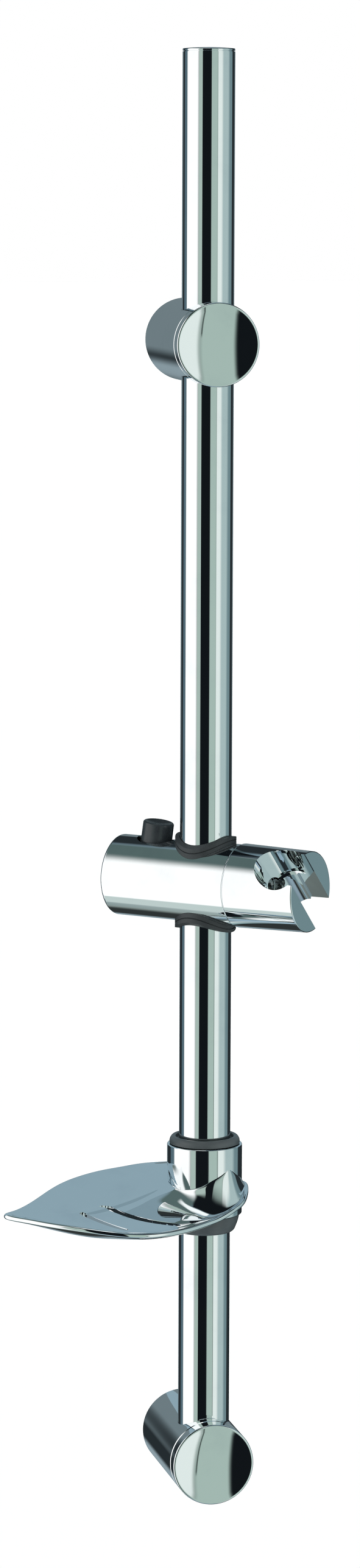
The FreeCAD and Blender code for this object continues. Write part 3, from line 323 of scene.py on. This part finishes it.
def turnPiece(name, outline, steps=96, ring=False):
    # a lathe: one vertex is drawn along the outline of (radius, height, rounding), the corners are
    # rounded, and the line is spun about Z; ring closes the outline of a piece with a bore
    bpy.ops.object.select_all(action="DESELECT")
    radius, height, _ = outline[0]
    bpy.ops.mesh.primitive_plane_add(size=mm, location=(radius * mm, 0, height * mm))
    piece = bpy.context.object
    piece.name = piece.data.name = name
    bpy.ops.object.transform_apply(location=True)
    bpy.ops.object.mode_set(mode="EDIT")
    bpy.ops.mesh.select_all(action="SELECT")
    bpy.ops.mesh.merge(type="CENTER")
    for (r0, z0, _), (r1, z1, _) in zip(outline, outline[1:]):
        move = ((r1 - r0) * mm, 0, (z1 - z0) * mm)
        bpy.ops.mesh.extrude_region_move(TRANSFORM_OT_translate={"value": move})
    if ring:
        ends = [Vector((outline[k][0] * mm, 0, outline[k][1] * mm)) for k in (0, -1)]
        selectWhere(piece, "verts", lambda v: min((v.co - end).length for end in ends) < 1e-6)
        bpy.ops.mesh.edge_face_add()
    for radius, height, rounding in outline:
        if rounding:
            corner = Vector((radius * mm, 0, height * mm))
            selectWhere(piece, "verts", lambda v: (v.co - corner).length < 1e-6)
            bpy.ops.mesh.bevel(offset=rounding * mm, segments=5, affect="VERTICES", clamp_overlap=False)
    bpy.ops.mesh.select_all(action="SELECT")
    bpy.ops.mesh.spin(steps=steps, angle=math.tau, center=(0, 0, 0), axis=(0, 0, 1))
    bpy.ops.mesh.select_all(action="SELECT")
    bpy.ops.mesh.remove_doubles(threshold=2e-6)
    bpy.ops.mesh.normals_make_consistent(inside=False)
    bpy.ops.object.mode_set(mode="OBJECT")
    return piece


def placeAt(piece, matrix):
    only(piece)
    piece.matrix_world = matrix
    bpy.ops.object.transform_apply(location=True, rotation=True, scale=True)


def applyModifier(piece, kind, name, **settings):
    only(piece)
    made = piece.modifiers.new(name, kind)
    for key, value in settings.items():
        setattr(made, key, value)
    bpy.ops.object.modifier_apply(modifier=made.name)


def settle(piece):
    # a boolean's threads leave the mesh in another order on each run; this is always the same one
    mesh, askew = bmesh.new(), Vector((1, 1.618, 2.718))
    mesh.from_mesh(piece.data)
    mesh.verts.sort(key=lambda v: v.co.dot(askew))
    mesh.edges.sort(key=lambda e: (e.verts[0].co + e.verts[1].co).dot(askew))
    mesh.faces.sort(key=lambda f: f.calc_center_median().dot(askew))
    mesh.to_mesh(piece.data)
    mesh.free()


def carve(piece, cutter, operation="DIFFERENCE"):
    applyModifier(piece, "BOOLEAN", operation.lower(), object=cutter, operation=operation, solver="EXACT")
    bpy.data.objects.remove(cutter)
    settle(piece)


def finishShape(piece, body, slotName, nodes, angle=32):
    # smooth faces with crisp edges, even reflections, and its place in the frame
    only(piece)
    bpy.ops.object.shade_smooth_by_angle(angle=math.radians(angle))
    applyModifier(piece, "WEIGHTED_NORMAL", "even shading", keep_sharp=True, weight=60)
    piece.data.materials.clear()
    piece.data.materials.append(finishes[slotName])
    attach(piece, body)
    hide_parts(*nodes)


def axisTurn(degrees, axis):
    return Matrix.Rotation(math.radians(degrees), 4, axis)


def shift(x, y, z):
    return Matrix.Translation((x * mm, y * mm, z * mm))


# where the rail's pieces stand at rest
mounting = {"wallDistance": 47.5, "upperBracket": 543.5, "sliderHeight": 284.0, "sliderSwivel": 43.3,
            "holderTilt": 45.0, "dishHeight": 155.5, "railTop": 680.5}
onRail = shift(0, -mounting["wallDistance"], 0)
sliderAt = onRail @ shift(0, 0, mounting["sliderHeight"]) @ axisTurn(-mounting["sliderSwivel"], "Z")
holderAt = sliderAt @ axisTurn(mounting["holderTilt"], "X")
dishAt = onRail @ shift(0, 0, mounting["dishHeight"])


# the cap at the top of the tube, with its plug and a shadow line round the foot of its edge
topCap = {"edge": 12.45, "height": 1.5, "dome": 0.6, "line": 0.3, "lineDepth": 0.45, "plug": 11.2,
          "bore": 9.2, "reach": 12.0}


def buildTopCap(s):
    foot = s["edge"] - s["lineDepth"]
    cap = turnPiece("topCap", [
        (0, 0, 0), (s["bore"], 0, 0), (s["bore"], -s["reach"], 0.3), (s["plug"], -s["reach"], 0.4),
        (s["plug"], 0, 0), (foot, 0, 0), (foot, s["line"], 0), (s["edge"], s["line"] + 0.05, 0.08),
        (s["edge"], s["height"], 0.5), (s["edge"] * 0.55, s["height"] + s["dome"] * 0.72, 4.0),
        (0, s["height"] + s["dome"], 0)], 128)
    placeAt(cap, onRail @ shift(0, 0, mounting["railTop"]))
    finishShape(cap, "rail", "chrome", ["rail_top_cap"])


buildTopCap(topCap)


# the front caps of the brackets: a skirt, a rounded rim and a dished face
bracketCap = {"radius": 20.0, "skirt": 17.6, "back": 62.9, "front": 69.5, "rimIn": 19.0, "hollow": 2.6,
              "inside": 66.2, "rings": 9}


def buildBracketCap(name, node, body, height, s):
    sphere = (s["rimIn"] ** 2 + s["hollow"] ** 2) / (2 * s["hollow"])
    face = []
    for k in range(1, s["rings"] + 1):
        radius = s["rimIn"] * (1 - k / s["rings"])
        face.append((radius, s["front"] - s["hollow"] + sphere - math.sqrt(sphere ** 2 - radius ** 2), 0))
    cap = turnPiece(name, [
        (0, s["inside"], 0), (s["skirt"], s["inside"], 0.4), (s["skirt"], s["back"], 0.2),
        (s["radius"], s["back"], 0.25), (s["radius"], s["front"], 0.75),
        (s["rimIn"], s["front"], 0.12)] + face, 144)
    placeAt(cap, shift(0, 0, height) @ axisTurn(90, "X"))
    finishShape(cap, body, "chrome", [node])


buildBracketCap("lowerCap", "lower_bracket_cap", "rail", 0, bracketCap)
buildBracketCap("upperCap", "upper_bracket_cap", "upper_bracket", mounting["upperBracket"], bracketCap)
print("stage: caps")


# the handset holder: a short cylinder with a conical socket, a slot for the hose and the bore that
# leads to the pivot screw
holder = {"root": 20.25, "rootRadius": 20.3, "end": 57.8, "tipRadius": 19.5, "rounding": 0.6,
          "pivot": 8.06, "recessEnd": 25.4, "screw": 3.2, "webEnd": 29.97, "access": 5.4, "socket": 47.8,
          "throat": 8.3, "ledge": 1.5, "seat": 10.4, "mouth": 12.2, "mouthBelow": 1.4, "flare": 0.3,
          "slot": 18.6, "slotLength": 30, "edge": 0.32, "beyond": 4, "weld": 0.02}


def buildHolder(s):
    piece = turnPiece("handsetHolder", [
        (s["screw"], s["recessEnd"], 0), (s["pivot"], s["recessEnd"], 0), (s["pivot"], s["root"], 0.3),
        (s["rootRadius"], s["root"], s["rounding"]), (s["tipRadius"], s["end"], s["rounding"]),
        (s["screw"], s["end"], 0)], 160, ring=True)
    placeAt(piece, axisTurn(90, "Y"))
    accessEnd = s["end"] + 5
    access = turnPiece("accessCut", [
        (0, s["webEnd"], 0), (s["access"], s["webEnd"], 0), (s["access"], accessEnd, 0),
        (0, accessEnd, 0)], 64)
    placeAt(access, axisTurn(90, "Y"))
    carve(piece, access)
    top, below, above = s["rootRadius"], -s["rootRadius"] - s["beyond"], s["rootRadius"] + s["beyond"]
    cone = turnPiece("socketCut", [
        (0, below, 0), (s["throat"], below, 0), (s["throat"], s["ledge"], 0), (s["seat"], s["ledge"], 0),
        (s["mouth"], top - s["mouthBelow"], 0),
        (s["mouth"] + (s["mouth"] - s["seat"]) * s["flare"], above, 0), (0, above, 0)], 128)
    placeAt(cone, shift(s["socket"], 0, 0))
    carve(piece, cone)
    bpy.ops.object.select_all(action="DESELECT")
    bpy.ops.mesh.primitive_cube_add(size=mm)
    slotCut = bpy.context.object
    size = Matrix.Diagonal((s["slotLength"], s["slot"], 60, 1))
    placeAt(slotCut, shift(s["socket"] + s["slotLength"] / 2, 0, 0) @ size)
    carve(piece, slotCut)
    only(piece)
    bpy.ops.object.mode_set(mode="EDIT")
    bpy.ops.mesh.select_all(action="SELECT")
    bpy.ops.mesh.remove_doubles(threshold=s["weld"] * mm)
    bpy.ops.mesh.dissolve_limited(angle_limit=math.radians(0.4))
    bpy.ops.object.mode_set(mode="OBJECT")
    applyModifier(piece, "BEVEL", "edges", width=s["edge"] * mm, segments=3, limit_method="ANGLE",
                  angle_limit=math.radians(38), use_clamp_overlap=True)
    placeAt(piece, holderAt)
    finishShape(piece, "holder", "chrome", ["handset_holder"])


buildHolder(holder)
print("stage: holder")


# the lever: a new knob on a copy of the lever's own arm
knob = {"pinPlace": 28.7, "pinHeight": 10.5, "lean": 8.0, "foot": 15.6, "top": 27.6, "radius": 7.6,
        "rounding": 1.1, "hollow": 1.3, "rim": 1.5, "recess": 1.5, "join": 0.05}


def buildKnob(s):
    along = 1 / math.cos(math.radians(s["lean"]))
    foot, top = (s["foot"] - s["pinHeight"]) * along, (s["top"] - s["pinHeight"]) * along
    piece = turnPiece("lockKnob", [
        (0, foot + s["recess"], 0), (s["radius"] - 2, foot + s["recess"], 0), (s["radius"] - 1.2, foot, 0.2),
        (s["radius"], foot, 0.5), (s["radius"] * 0.985, top, s["rounding"]),
        (s["radius"] - s["rim"], top - 0.25, 0.5), (s["radius"] * 0.45, top - s["hollow"] * 0.75, 1.6),
        (0, top - s["hollow"], 0)], 96)
    placeAt(piece, sliderAt @ shift(-s["pinPlace"], 0, s["pinHeight"]) @ axisTurn(s["lean"], "Y"))
    source = frame["nodes"]["lock_lever"]
    arm = bpy.data.objects.new("leverArm", source.data.copy())
    bpy.context.collection.objects.link(arm)
    only(arm)
    bpy.ops.object.mode_set(mode="EDIT")
    bpy.ops.mesh.select_all(action="SELECT")
    bpy.ops.mesh.remove_doubles(threshold=2e-6)
    # the arm's own knob is cut away, and its stem is drawn up into the new one
    upright = (sliderAt @ axisTurn(s["lean"], "Y")).to_3x3() @ Vector((0, 0, 1))
    pin = sliderAt @ shift(-s["pinPlace"], 0, s["pinHeight"]) @ Vector((0, 0, 0))
    cut = pin + upright * (foot - s["join"]) * mm
    bpy.ops.mesh.bisect(plane_co=cut, plane_no=upright, clear_outer=True, threshold=1e-6)
    bpy.ops.mesh.select_all(action="DESELECT")
    bpy.ops.mesh.select_non_manifold()
    bpy.ops.mesh.fill()
    bpy.ops.mesh.extrude_region_move(TRANSFORM_OT_translate={
        "value": upright * (s["recess"] + 2 * s["join"]) * mm})
    bpy.ops.mesh.select_all(action="SELECT")
    bpy.ops.mesh.normals_make_consistent(inside=False)
    bpy.ops.object.mode_set(mode="OBJECT")
    bpy.ops.mesh.customdata_custom_splitnormals_clear()
    only(piece, arm)
    bpy.ops.object.join()
    finishShape(piece, "lever", "black_plastic", ["lock_lever"])


buildKnob(knob)


# the bush over the dish's collar: its flange has a soft shoulder and a recess round the tube
bush = {"bore": 12.56, "neck": 15.0, "flange": 17.1, "foot": -40.8, "gap": 0.3, "shoulder": 2.2,
        "top": 4.0, "slope": 1.3, "lip": 14.1, "lipDrop": 0.25, "lipWidth": 0.35, "recess": 1.9}


def buildBush(s):
    piece = turnPiece("dishBush", [
        (s["bore"], s["foot"], 0.3), (s["neck"], s["foot"], 0.4), (s["neck"], s["gap"], 0),
        (s["flange"], s["gap"], 0.25), (s["flange"], s["shoulder"], 0.9),
        (s["flange"] - s["slope"], s["top"], 0.7), (s["lip"], s["top"] - s["lipDrop"], 0.3),
        (s["lip"] - s["lipWidth"], s["recess"], 0.3), (s["bore"], s["recess"], 0)], 112, ring=True)
    placeAt(piece, dishAt)
    finishShape(piece, "dish_grip", "dark_plastic", ["dish_bush"])


buildBush(bush)


# the ring that locks the bush from below, with a tapered skirt
lockRing = {"head": -34.8, "foot": -43.4, "headRadius": 17.1, "footRadius": 14.4, "thread": 15.1,
            "inside": 12.9, "shelf": -40.95, "waist": 5.4, "waistShare": 0.22}


def buildLockRing(s):
    waist = s["headRadius"] - (s["headRadius"] - s["footRadius"]) * s["waistShare"]
    piece = turnPiece("dishLockRing", [
        (s["thread"], s["head"], 0), (s["headRadius"], s["head"], 0.3), (waist, s["foot"] + s["waist"], 1.2),
        (s["footRadius"], s["foot"], 1.6), (s["inside"], s["foot"], 0.25), (s["inside"], s["shelf"], 0),
        (s["thread"], s["shelf"], 0)], 112, ring=True)
    placeAt(piece, dishAt)
    finishShape(piece, "dish_grip", "grey_plastic", ["dish_lock_ring"])


buildLockRing(lockRing)
print("stage: knob and bush")


# the soap dish: a leaf that winds round its collar, with a rolled rim. Depth under the collar's top
# and reach are in percent of the dish's whole reach; the rim's depth is that of its bead's middle.
# Rows are radial sections. Six numbers: angle, depth at the collar, at one third, at two thirds and
# at the rim, reach of the rim. Seven, with a steep wall: angle, depth at the collar, reach and depth
# of the wall's foot, reach and depth of the rim, sag of the floor. Two: an end inside the collar
dish = {
    "reach": 102.6, "collar": 18.25, "bore": 15.06, "length": 34.5, "plate": 2.1, "rim": 1.4,
    "rows": [
        (76, 12.9), (84, 12.8), (91, 11.9, 12.0, 12.1, 13.5, 20.2),
        (98, 12.0, 12.3, 12.6, 14.2, 22.9), (107, 12.2, 12.7, 13.3, 15.2, 26.9),
        (117, 12.6, 13.2, 14.2, 16.2, 33.8), (127, 13.2, 14.2, 15.4, 17.4, 42.0),
        (136, 13.8, 15.3, 17.0, 18.5, 47.5), (146, 14.6, 17.2, 19.3, 19.3, 53.8),
        (157, 15.5, 19.5, 21.7, 20.5, 61.6), (167, 16.6, 22.4, 24.8, 22.3, 70.0),
        (175, 17.5, 24.6, 27.4, 25.1, 78.4), (180.5, 18.1, 26.0, 28.9, 27.0, 85.7),
        (184.2, 18.5, 26.7, 29.6, 28.4, 93.6), (186.8, 18.8, 27.2, 30.2, 28.4, 99.7),
        (189.5, 19.0, 28.0, 31.4, 28.9, 96.4), (194, 19.3, 29.3, 33.9, 29.1, 91.5),
        (200, 19.7, 30.2, 35.6, 29.5, 86.2), (208, 19.95, 30.8, 36.6, 30.1, 79.4),
        (217, 20.0, 21.0, 23.2, 71.9, 31.3, 8.0), (226, 19.8, 23.0, 26.3, 63.8, 32.6, 5.5),
        (235, 19.35, 25.8, 29.0, 53.6, 33.2, 3.4), (244, 18.6, 27.2, 30.4, 43.2, 33.1, 2.0),
        (253, 17.6, 27.0, 30.6, 36.0, 32.4, 1.3), (262, 16.05, 25.8, 30.1, 31.3, 31.7, 0.95),
        (271, 14.5, 24.9, 29.0, 28.8, 30.7, 0.8), (280, 13.1, 24.2, 27.6, 27.2, 29.3, 0.7),
        (288, 11.7, 23.5, 26.5, 26.2, 28.0, 0.6), (297, 10.2, 22.8, 25.0, 25.2, 26.8, 0.5),
        (305, 11.4, 22.2, 23.8, 24.3, 25.3, 0.4), (312, 12.85, 21.3, 22.2, 23.4, 23.9, 0.3),
        (322, 14.6, 20.3, 20.7, 22.3, 22.4, 0.2), (333, 16.2, 19.5, 19.6, 21.4, 21.3, 0.1),
        (345, 17.5, 18.9, 19.2, 20.8, 20.8, 0.1), (357, 18.2, 18.6, 19.0, 20.5, 20.5, 0), (368, 20.0),
        (380, 20.0),
    ],
    "easedFrom": 190, "easedTo": 262, "closeUp": 34, "narrow": 6, "endDepth": 1.6, "endRadius": 0.9,
    "slotWidth": 2.4,
    "slots": [((182.5, 50.4), (205.0, 40.8), (236.5, 34.2)),
              ((187.3, 61.4), (198.0, 55.0), (210.5, 50.8))],
    # shares of the way from the collar to the rim: places of an open row, and of one beside the wall
    "openShares": (0.24, 0.4, 0.58, 0.76, 0.9, 1.0),
    "closeShares": (0.045, 0.085, 0.27, 0.54, 0.81, 1.0),
    # of the floor beyond the steep wall: share of the way, share of the sag
    "floorShares": ((0.24, 0.62), (0.52, 1.0), (0.8, 0.76), (1.0, 0)),
}


around = 21     # places in every closed loop of the leaf


def cubicThrough(heights, t):
    # the cubic through heights at 0, 1/3, 2/3 and 1
    a, b, c, d = heights
    u = 3 * t
    return (-a * (u - 1) * (u - 2) * (u - 3) / 6 + b * u * (u - 2) * (u - 3) / 2
            - c * u * (u - 1) * (u - 3) / 2 + d * u * (u - 1) * (u - 2) / 6)


def onDish(s, angle, reach, drop):
    turn, away = math.radians(angle), reach * mm
    return Vector((away * math.cos(turn), away * math.sin(turn), -drop * s["reach"] / 100 * mm))


def openRow(s, row, steepFrom):
    # a row that falls softly from the collar and rises to the rim
    percent, wall, bead = s["reach"] / 100, s["collar"], s["rim"]
    angle, a, b, c, d, rim = row
    inner = rim * percent - bead - wall
    lift = min(0.9, 0.5 * inner) / percent
    free = min(1, max(0, (steepFrom - angle) / s["closeUp"]))   # rows close up towards the steep wall
    near = [(wall - 0.8, a - lift * 1.4),
            (wall + min(0.1 + 0.3 * (1 - free), 0.05 * inner), a - lift * 0.4)]
    shares = zip(s["openShares"], s["closeShares"])
    steps = [min(1.3, 0.14 * inner)] + [(f * free + (1 - free) * g) * inner for f, g in shares]
    heights = (a, b, c, d - bead / percent)
    return near + [(wall + step, cubicThrough(heights, step / inner)) for step in steps]


def steepRow(s, row):
    # a row with a steep wall beside the collar, and a sagging floor from its foot to the rim
    percent, wall, bead = s["reach"] / 100, s["collar"], s["rim"]
    angle, a, footReach, foot, rim, d, sag = row
    inner, edge, top = footReach * percent, rim * percent - bead, d - bead / percent
    run = inner - wall
    places = [(wall - 0.8, a - 1.0), (wall + 0.04 * run, a - 0.2),
              (wall + 0.22 * run, a + (foot - a) * 0.24), (wall + 0.6 * run, a + (foot - a) * 0.66),
              (inner - 0.08 * run, foot - (foot - a) * 0.06)]
    for along, share in s["floorShares"]:
        places.append((inner + (edge - inner) * along, foot + (top - foot) * along + sag * share))
    return places


def dishTops(s):
    # the leaf's upper side, nine places a row: from inside the collar's wall to the top of the bead
    rows, tops = s["rows"], []
    steepFrom = min(row[0] for row in rows if len(row) == 7)
    for row in rows:
        if len(row) == 2:
            tops.append(None)
        else:
            places = openRow(s, row, steepFrom) if len(row) == 6 else steepRow(s, row)
            tops.append([onDish(s, row[0], *place) for place in places])
    soft = [i for i, row in enumerate(rows) if s["easedFrom"] < row[0] < s["easedTo"]]
    for _ in range(6):      # the steep wall comes out of the leaf by and by
        eased = {i: [(tops[i - 1][j] + tops[i][j] * 2 + tops[i + 1][j]) / 4 for j in range(2, 7)]
                 for i in soft}
        for i in soft:
            tops[i][2:7] = eased[i]
    return tops


def endLoop(s, angle, drop):
    # a small round end inside the collar's wall
    middle = onDish(s, angle, s["collar"] - s["endDepth"], drop)
    away, upright = Vector((middle.x, middle.y, 0)).normalized(), Vector((0, 0, 1))
    turns = [math.pi - math.tau * k / around for k in range(around)]
    return [middle + (away * math.cos(turn) + upright * math.sin(turn)) * s["endRadius"] * mm
            for turn in turns]


def rowLoop(s, tops, before, after):
    # upper side, round bead, under side; where the leaf is narrow, its thickness is simply upright
    along, width = (after[8] - before[8]).normalized(), tops[8].xy.length - s["collar"] * mm
    level = Vector((*tops[8].xy.normalized(), 0)).cross(along).normalized()
    trust = min(1, width / (s["narrow"] * mm))
    normals = []
    for j in range(9):
        across = tops[min(j + 1, 8)] - tops[max(j - 1, 0)]
        tilted = across.cross(after[j] - before[j]).normalized()
        normals.append((level * (1 - trust) + tilted * trust).normalized())
    bead, up = s["rim"] * mm, (normals[7] + normals[8]).normalized()
    out = along.cross(up).normalized()
    middle, reach = tops[8] - up * bead, bead / 0.91    # smoothing draws a loop in to 0.91 of its size
    turns = [math.radians(angle) for angle in (90, 45, 0, -45, -90)]
    rolled = [middle + (out * math.cos(turn) + up * math.sin(turn)) * reach for turn in turns]
    return tops[:8] + rolled + [tops[j] - normals[j] * s["plate"] * mm for j in range(7, -1, -1)]


def dishLoops(s):
    # a closed loop a row; the leaf is drawn through these places
    tops = dishTops(s)
    inside = [i for i, top in enumerate(tops) if top]
    loops = []
    for i, row in enumerate(s["rows"]):
        if tops[i]:
            loops.append(rowLoop(s, tops[i], tops[max(i - 1, inside[0])], tops[min(i + 1, inside[-1])]))
        else:
            loops.append(endLoop(s, *row))
    drawn = [list(loop) for loop in loops]
    for _ in range(2):      # so that the smoothed leaf passes through the rows
        for i in range(4, len(loops) - 4):
            for j in range(around):
                smoothed = (drawn[i - 1][j] + drawn[i][j] * 4 + drawn[i + 1][j]) / 6
                drawn[i][j] = drawn[i][j] + loops[i][j] - smoothed
    return drawn


def buildBlade(s):
    # a grid takes the loops' places, is closed along its seam and at both ends, and is smoothed
    loops = dishLoops(s)
    long = len(loops) - 1
    bpy.ops.object.select_all(action="DESELECT")
    bpy.ops.mesh.primitive_grid_add(x_subdivisions=long, y_subdivisions=around, size=1)
    blade = bpy.context.object
    blade.name = blade.data.name = "soapDish"
    for vertex in blade.data.vertices:
        row, column = round((vertex.co.x + 0.5) * long), round((vertex.co.y + 0.5) * around)
        vertex.co = loops[row][column % around]
    only(blade)
    bpy.ops.object.mode_set(mode="EDIT")
    bpy.ops.mesh.select_all(action="SELECT")
    bpy.ops.mesh.remove_doubles(threshold=1e-7)
    bpy.ops.mesh.select_all(action="DESELECT")
    bpy.ops.mesh.select_non_manifold()
    bpy.ops.mesh.edge_face_add()
    bpy.ops.mesh.select_all(action="SELECT")
    bpy.ops.mesh.normals_make_consistent(inside=False)
    bpy.ops.object.mode_set(mode="OBJECT")
    applyModifier(blade, "SUBSURF", "smooth leaf", levels=3, render_levels=3)
    return blade


def slotCutter(s, marks):
    # an arc through three places of the leaf, as wide as the slot, with round ends, seen from above
    percent, last = s["reach"] / 100, 24
    first, middle, end = (Vector((reach * percent * math.cos(math.radians(angle)),
                                  reach * percent * math.sin(math.radians(angle))))
                          for angle, reach in marks)
    control = middle * 2 - (first + end) / 2
    line = [first * (1 - t) ** 2 + control * 2 * t * (1 - t) + end * t * t
            for t in (k / last for k in range(last + 1))]
    bpy.ops.object.select_all(action="DESELECT")
    bpy.ops.mesh.primitive_plane_add(size=mm, location=(line[0].x * mm, line[0].y * mm, -5 * mm))
    cutter = bpy.context.object
    bpy.ops.object.transform_apply(location=True)
    bpy.ops.object.mode_set(mode="EDIT")
    bpy.ops.mesh.select_all(action="SELECT")
    bpy.ops.mesh.merge(type="CENTER")
    outline, half = [], s["slotWidth"] / 2
    for points in (line, line[::-1]):
        for k, point in enumerate(points):
            along = (points[min(k + 1, last)] - points[max(k - 1, 0)]).normalized()
            outline.append(point + Vector((along.y, -along.x)) * half)
        for k in range(1, 8):
            turn = math.pi * k / 8
            outward = Vector((along.y, -along.x)) * math.cos(turn) + along * math.sin(turn)
            outline.append(points[-1] + outward * half)
    at = line[0]
    for point in outline:
        move = (point - at) * mm
        bpy.ops.mesh.extrude_region_move(TRANSFORM_OT_translate={"value": (move.x, move.y, 0)})
        at = point
    start = line[0].to_3d() * mm - Vector((0, 0, 5 * mm))
    selectWhere(cutter, "verts", lambda v: (v.co - start).length < 1e-7)
    bpy.ops.mesh.delete(type="VERT")
    bpy.ops.mesh.select_all(action="SELECT")
    bpy.ops.mesh.edge_face_add()
    bpy.ops.mesh.extrude_region_move(TRANSFORM_OT_translate={"value": (0, 0, -50 * mm)})
    bpy.ops.mesh.select_all(action="SELECT")
    bpy.ops.mesh.normals_make_consistent(inside=False)
    bpy.ops.object.mode_set(mode="OBJECT")
    return cutter


def buildDish(s):
    blade = buildBlade(s)
    for marks in s["slots"]:
        carve(blade, slotCutter(s, marks))
    collar = turnPiece("collar", [
        (s["bore"], -s["length"], 0.3), (s["collar"], -s["length"], 0.5), (s["collar"], 0, 0.6),
        (s["bore"], 0, 0.3)], 192, ring=True)
    carve(blade, collar, "UNION")
    # whatever of the leaf stands into the bore goes
    radius, foot = s["bore"] - 0.001, -s["length"] - 20
    carve(blade, turnPiece("boreCut", [(0, 5, 0), (radius, 5, 0), (radius, foot, 0), (0, foot, 0)], 192))
    placeAt(blade, dishAt)
    finishShape(blade, "dish", "chrome", ["soap_dish"], 34)


buildDish(dish)
print("stage: dish")


# a card over the dish, seen only in its reflections, as a photographer puts one over a dark surface
dishCard = {"place": (0.0, 0.30, 0.232), "width": 0.9, "depth": 0.6, "colour": (0.275, 0.392, 0.456)}


def buildCard(s):
    bpy.ops.object.select_all(action="DESELECT")
    bpy.ops.mesh.primitive_plane_add(size=1, location=s["place"])
    card = bpy.context.object
    card.name = "dishCard"
    card.scale = (s["width"], s["depth"], 1)
    material = bpy.data.materials.new("softCard")
    material.use_nodes = True
    tree = material.node_tree
    start = Signal(tree, tree.nodes["Principled BSDF"].outputs[0])
    # it glows only on its under side
    side = Signal(tree, start.node("ShaderNodeNewGeometry").outputs["Backfacing"])
    glow = start.node("ShaderNodeEmission", Color=(*s["colour"], 1), Strength=1.0)
    clear = start.node("ShaderNodeBsdfTransparent")
    both = start.node("ShaderNodeMixShader", _0=side, _1=Signal(tree, clear.outputs[0]),
                      _2=Signal(tree, glow.outputs[0]))
    tree.links.new(both.outputs[0], tree.nodes["Material Output"].inputs["Surface"])
    card.data.materials.append(material)
    card.visible_camera = card.visible_diffuse = card.visible_shadow = False
    card.visible_transmission = card.visible_volume_scatter = False


buildCard(dishCard)


# a plain white floor, kept out of the reflections, where the studio's own floor panels are
floorSettings = {"size": 60, "height": -0.35, "glow": 0.05}


def buildFloor(s):
    bpy.ops.object.select_all(action="DESELECT")
    bpy.ops.mesh.primitive_plane_add(size=s["size"], location=(0, 0, s["height"]))
    floor = bpy.context.object
    floor.name = "floor"
    pale = newMaterial("paleFloor", (1.0, 1.0, 1.0), 0.0, 0.0, 0.0)
    shader = pale.node_tree.nodes["Principled BSDF"]
    shader.inputs["Emission Color"].default_value = (1, 1, 1, 1)
    shader.inputs["Emission Strength"].default_value = s["glow"]
    floor.data.materials.append(pale)
    floor.visible_glossy = False


buildFloor(floorSettings)

print("stage: floor")
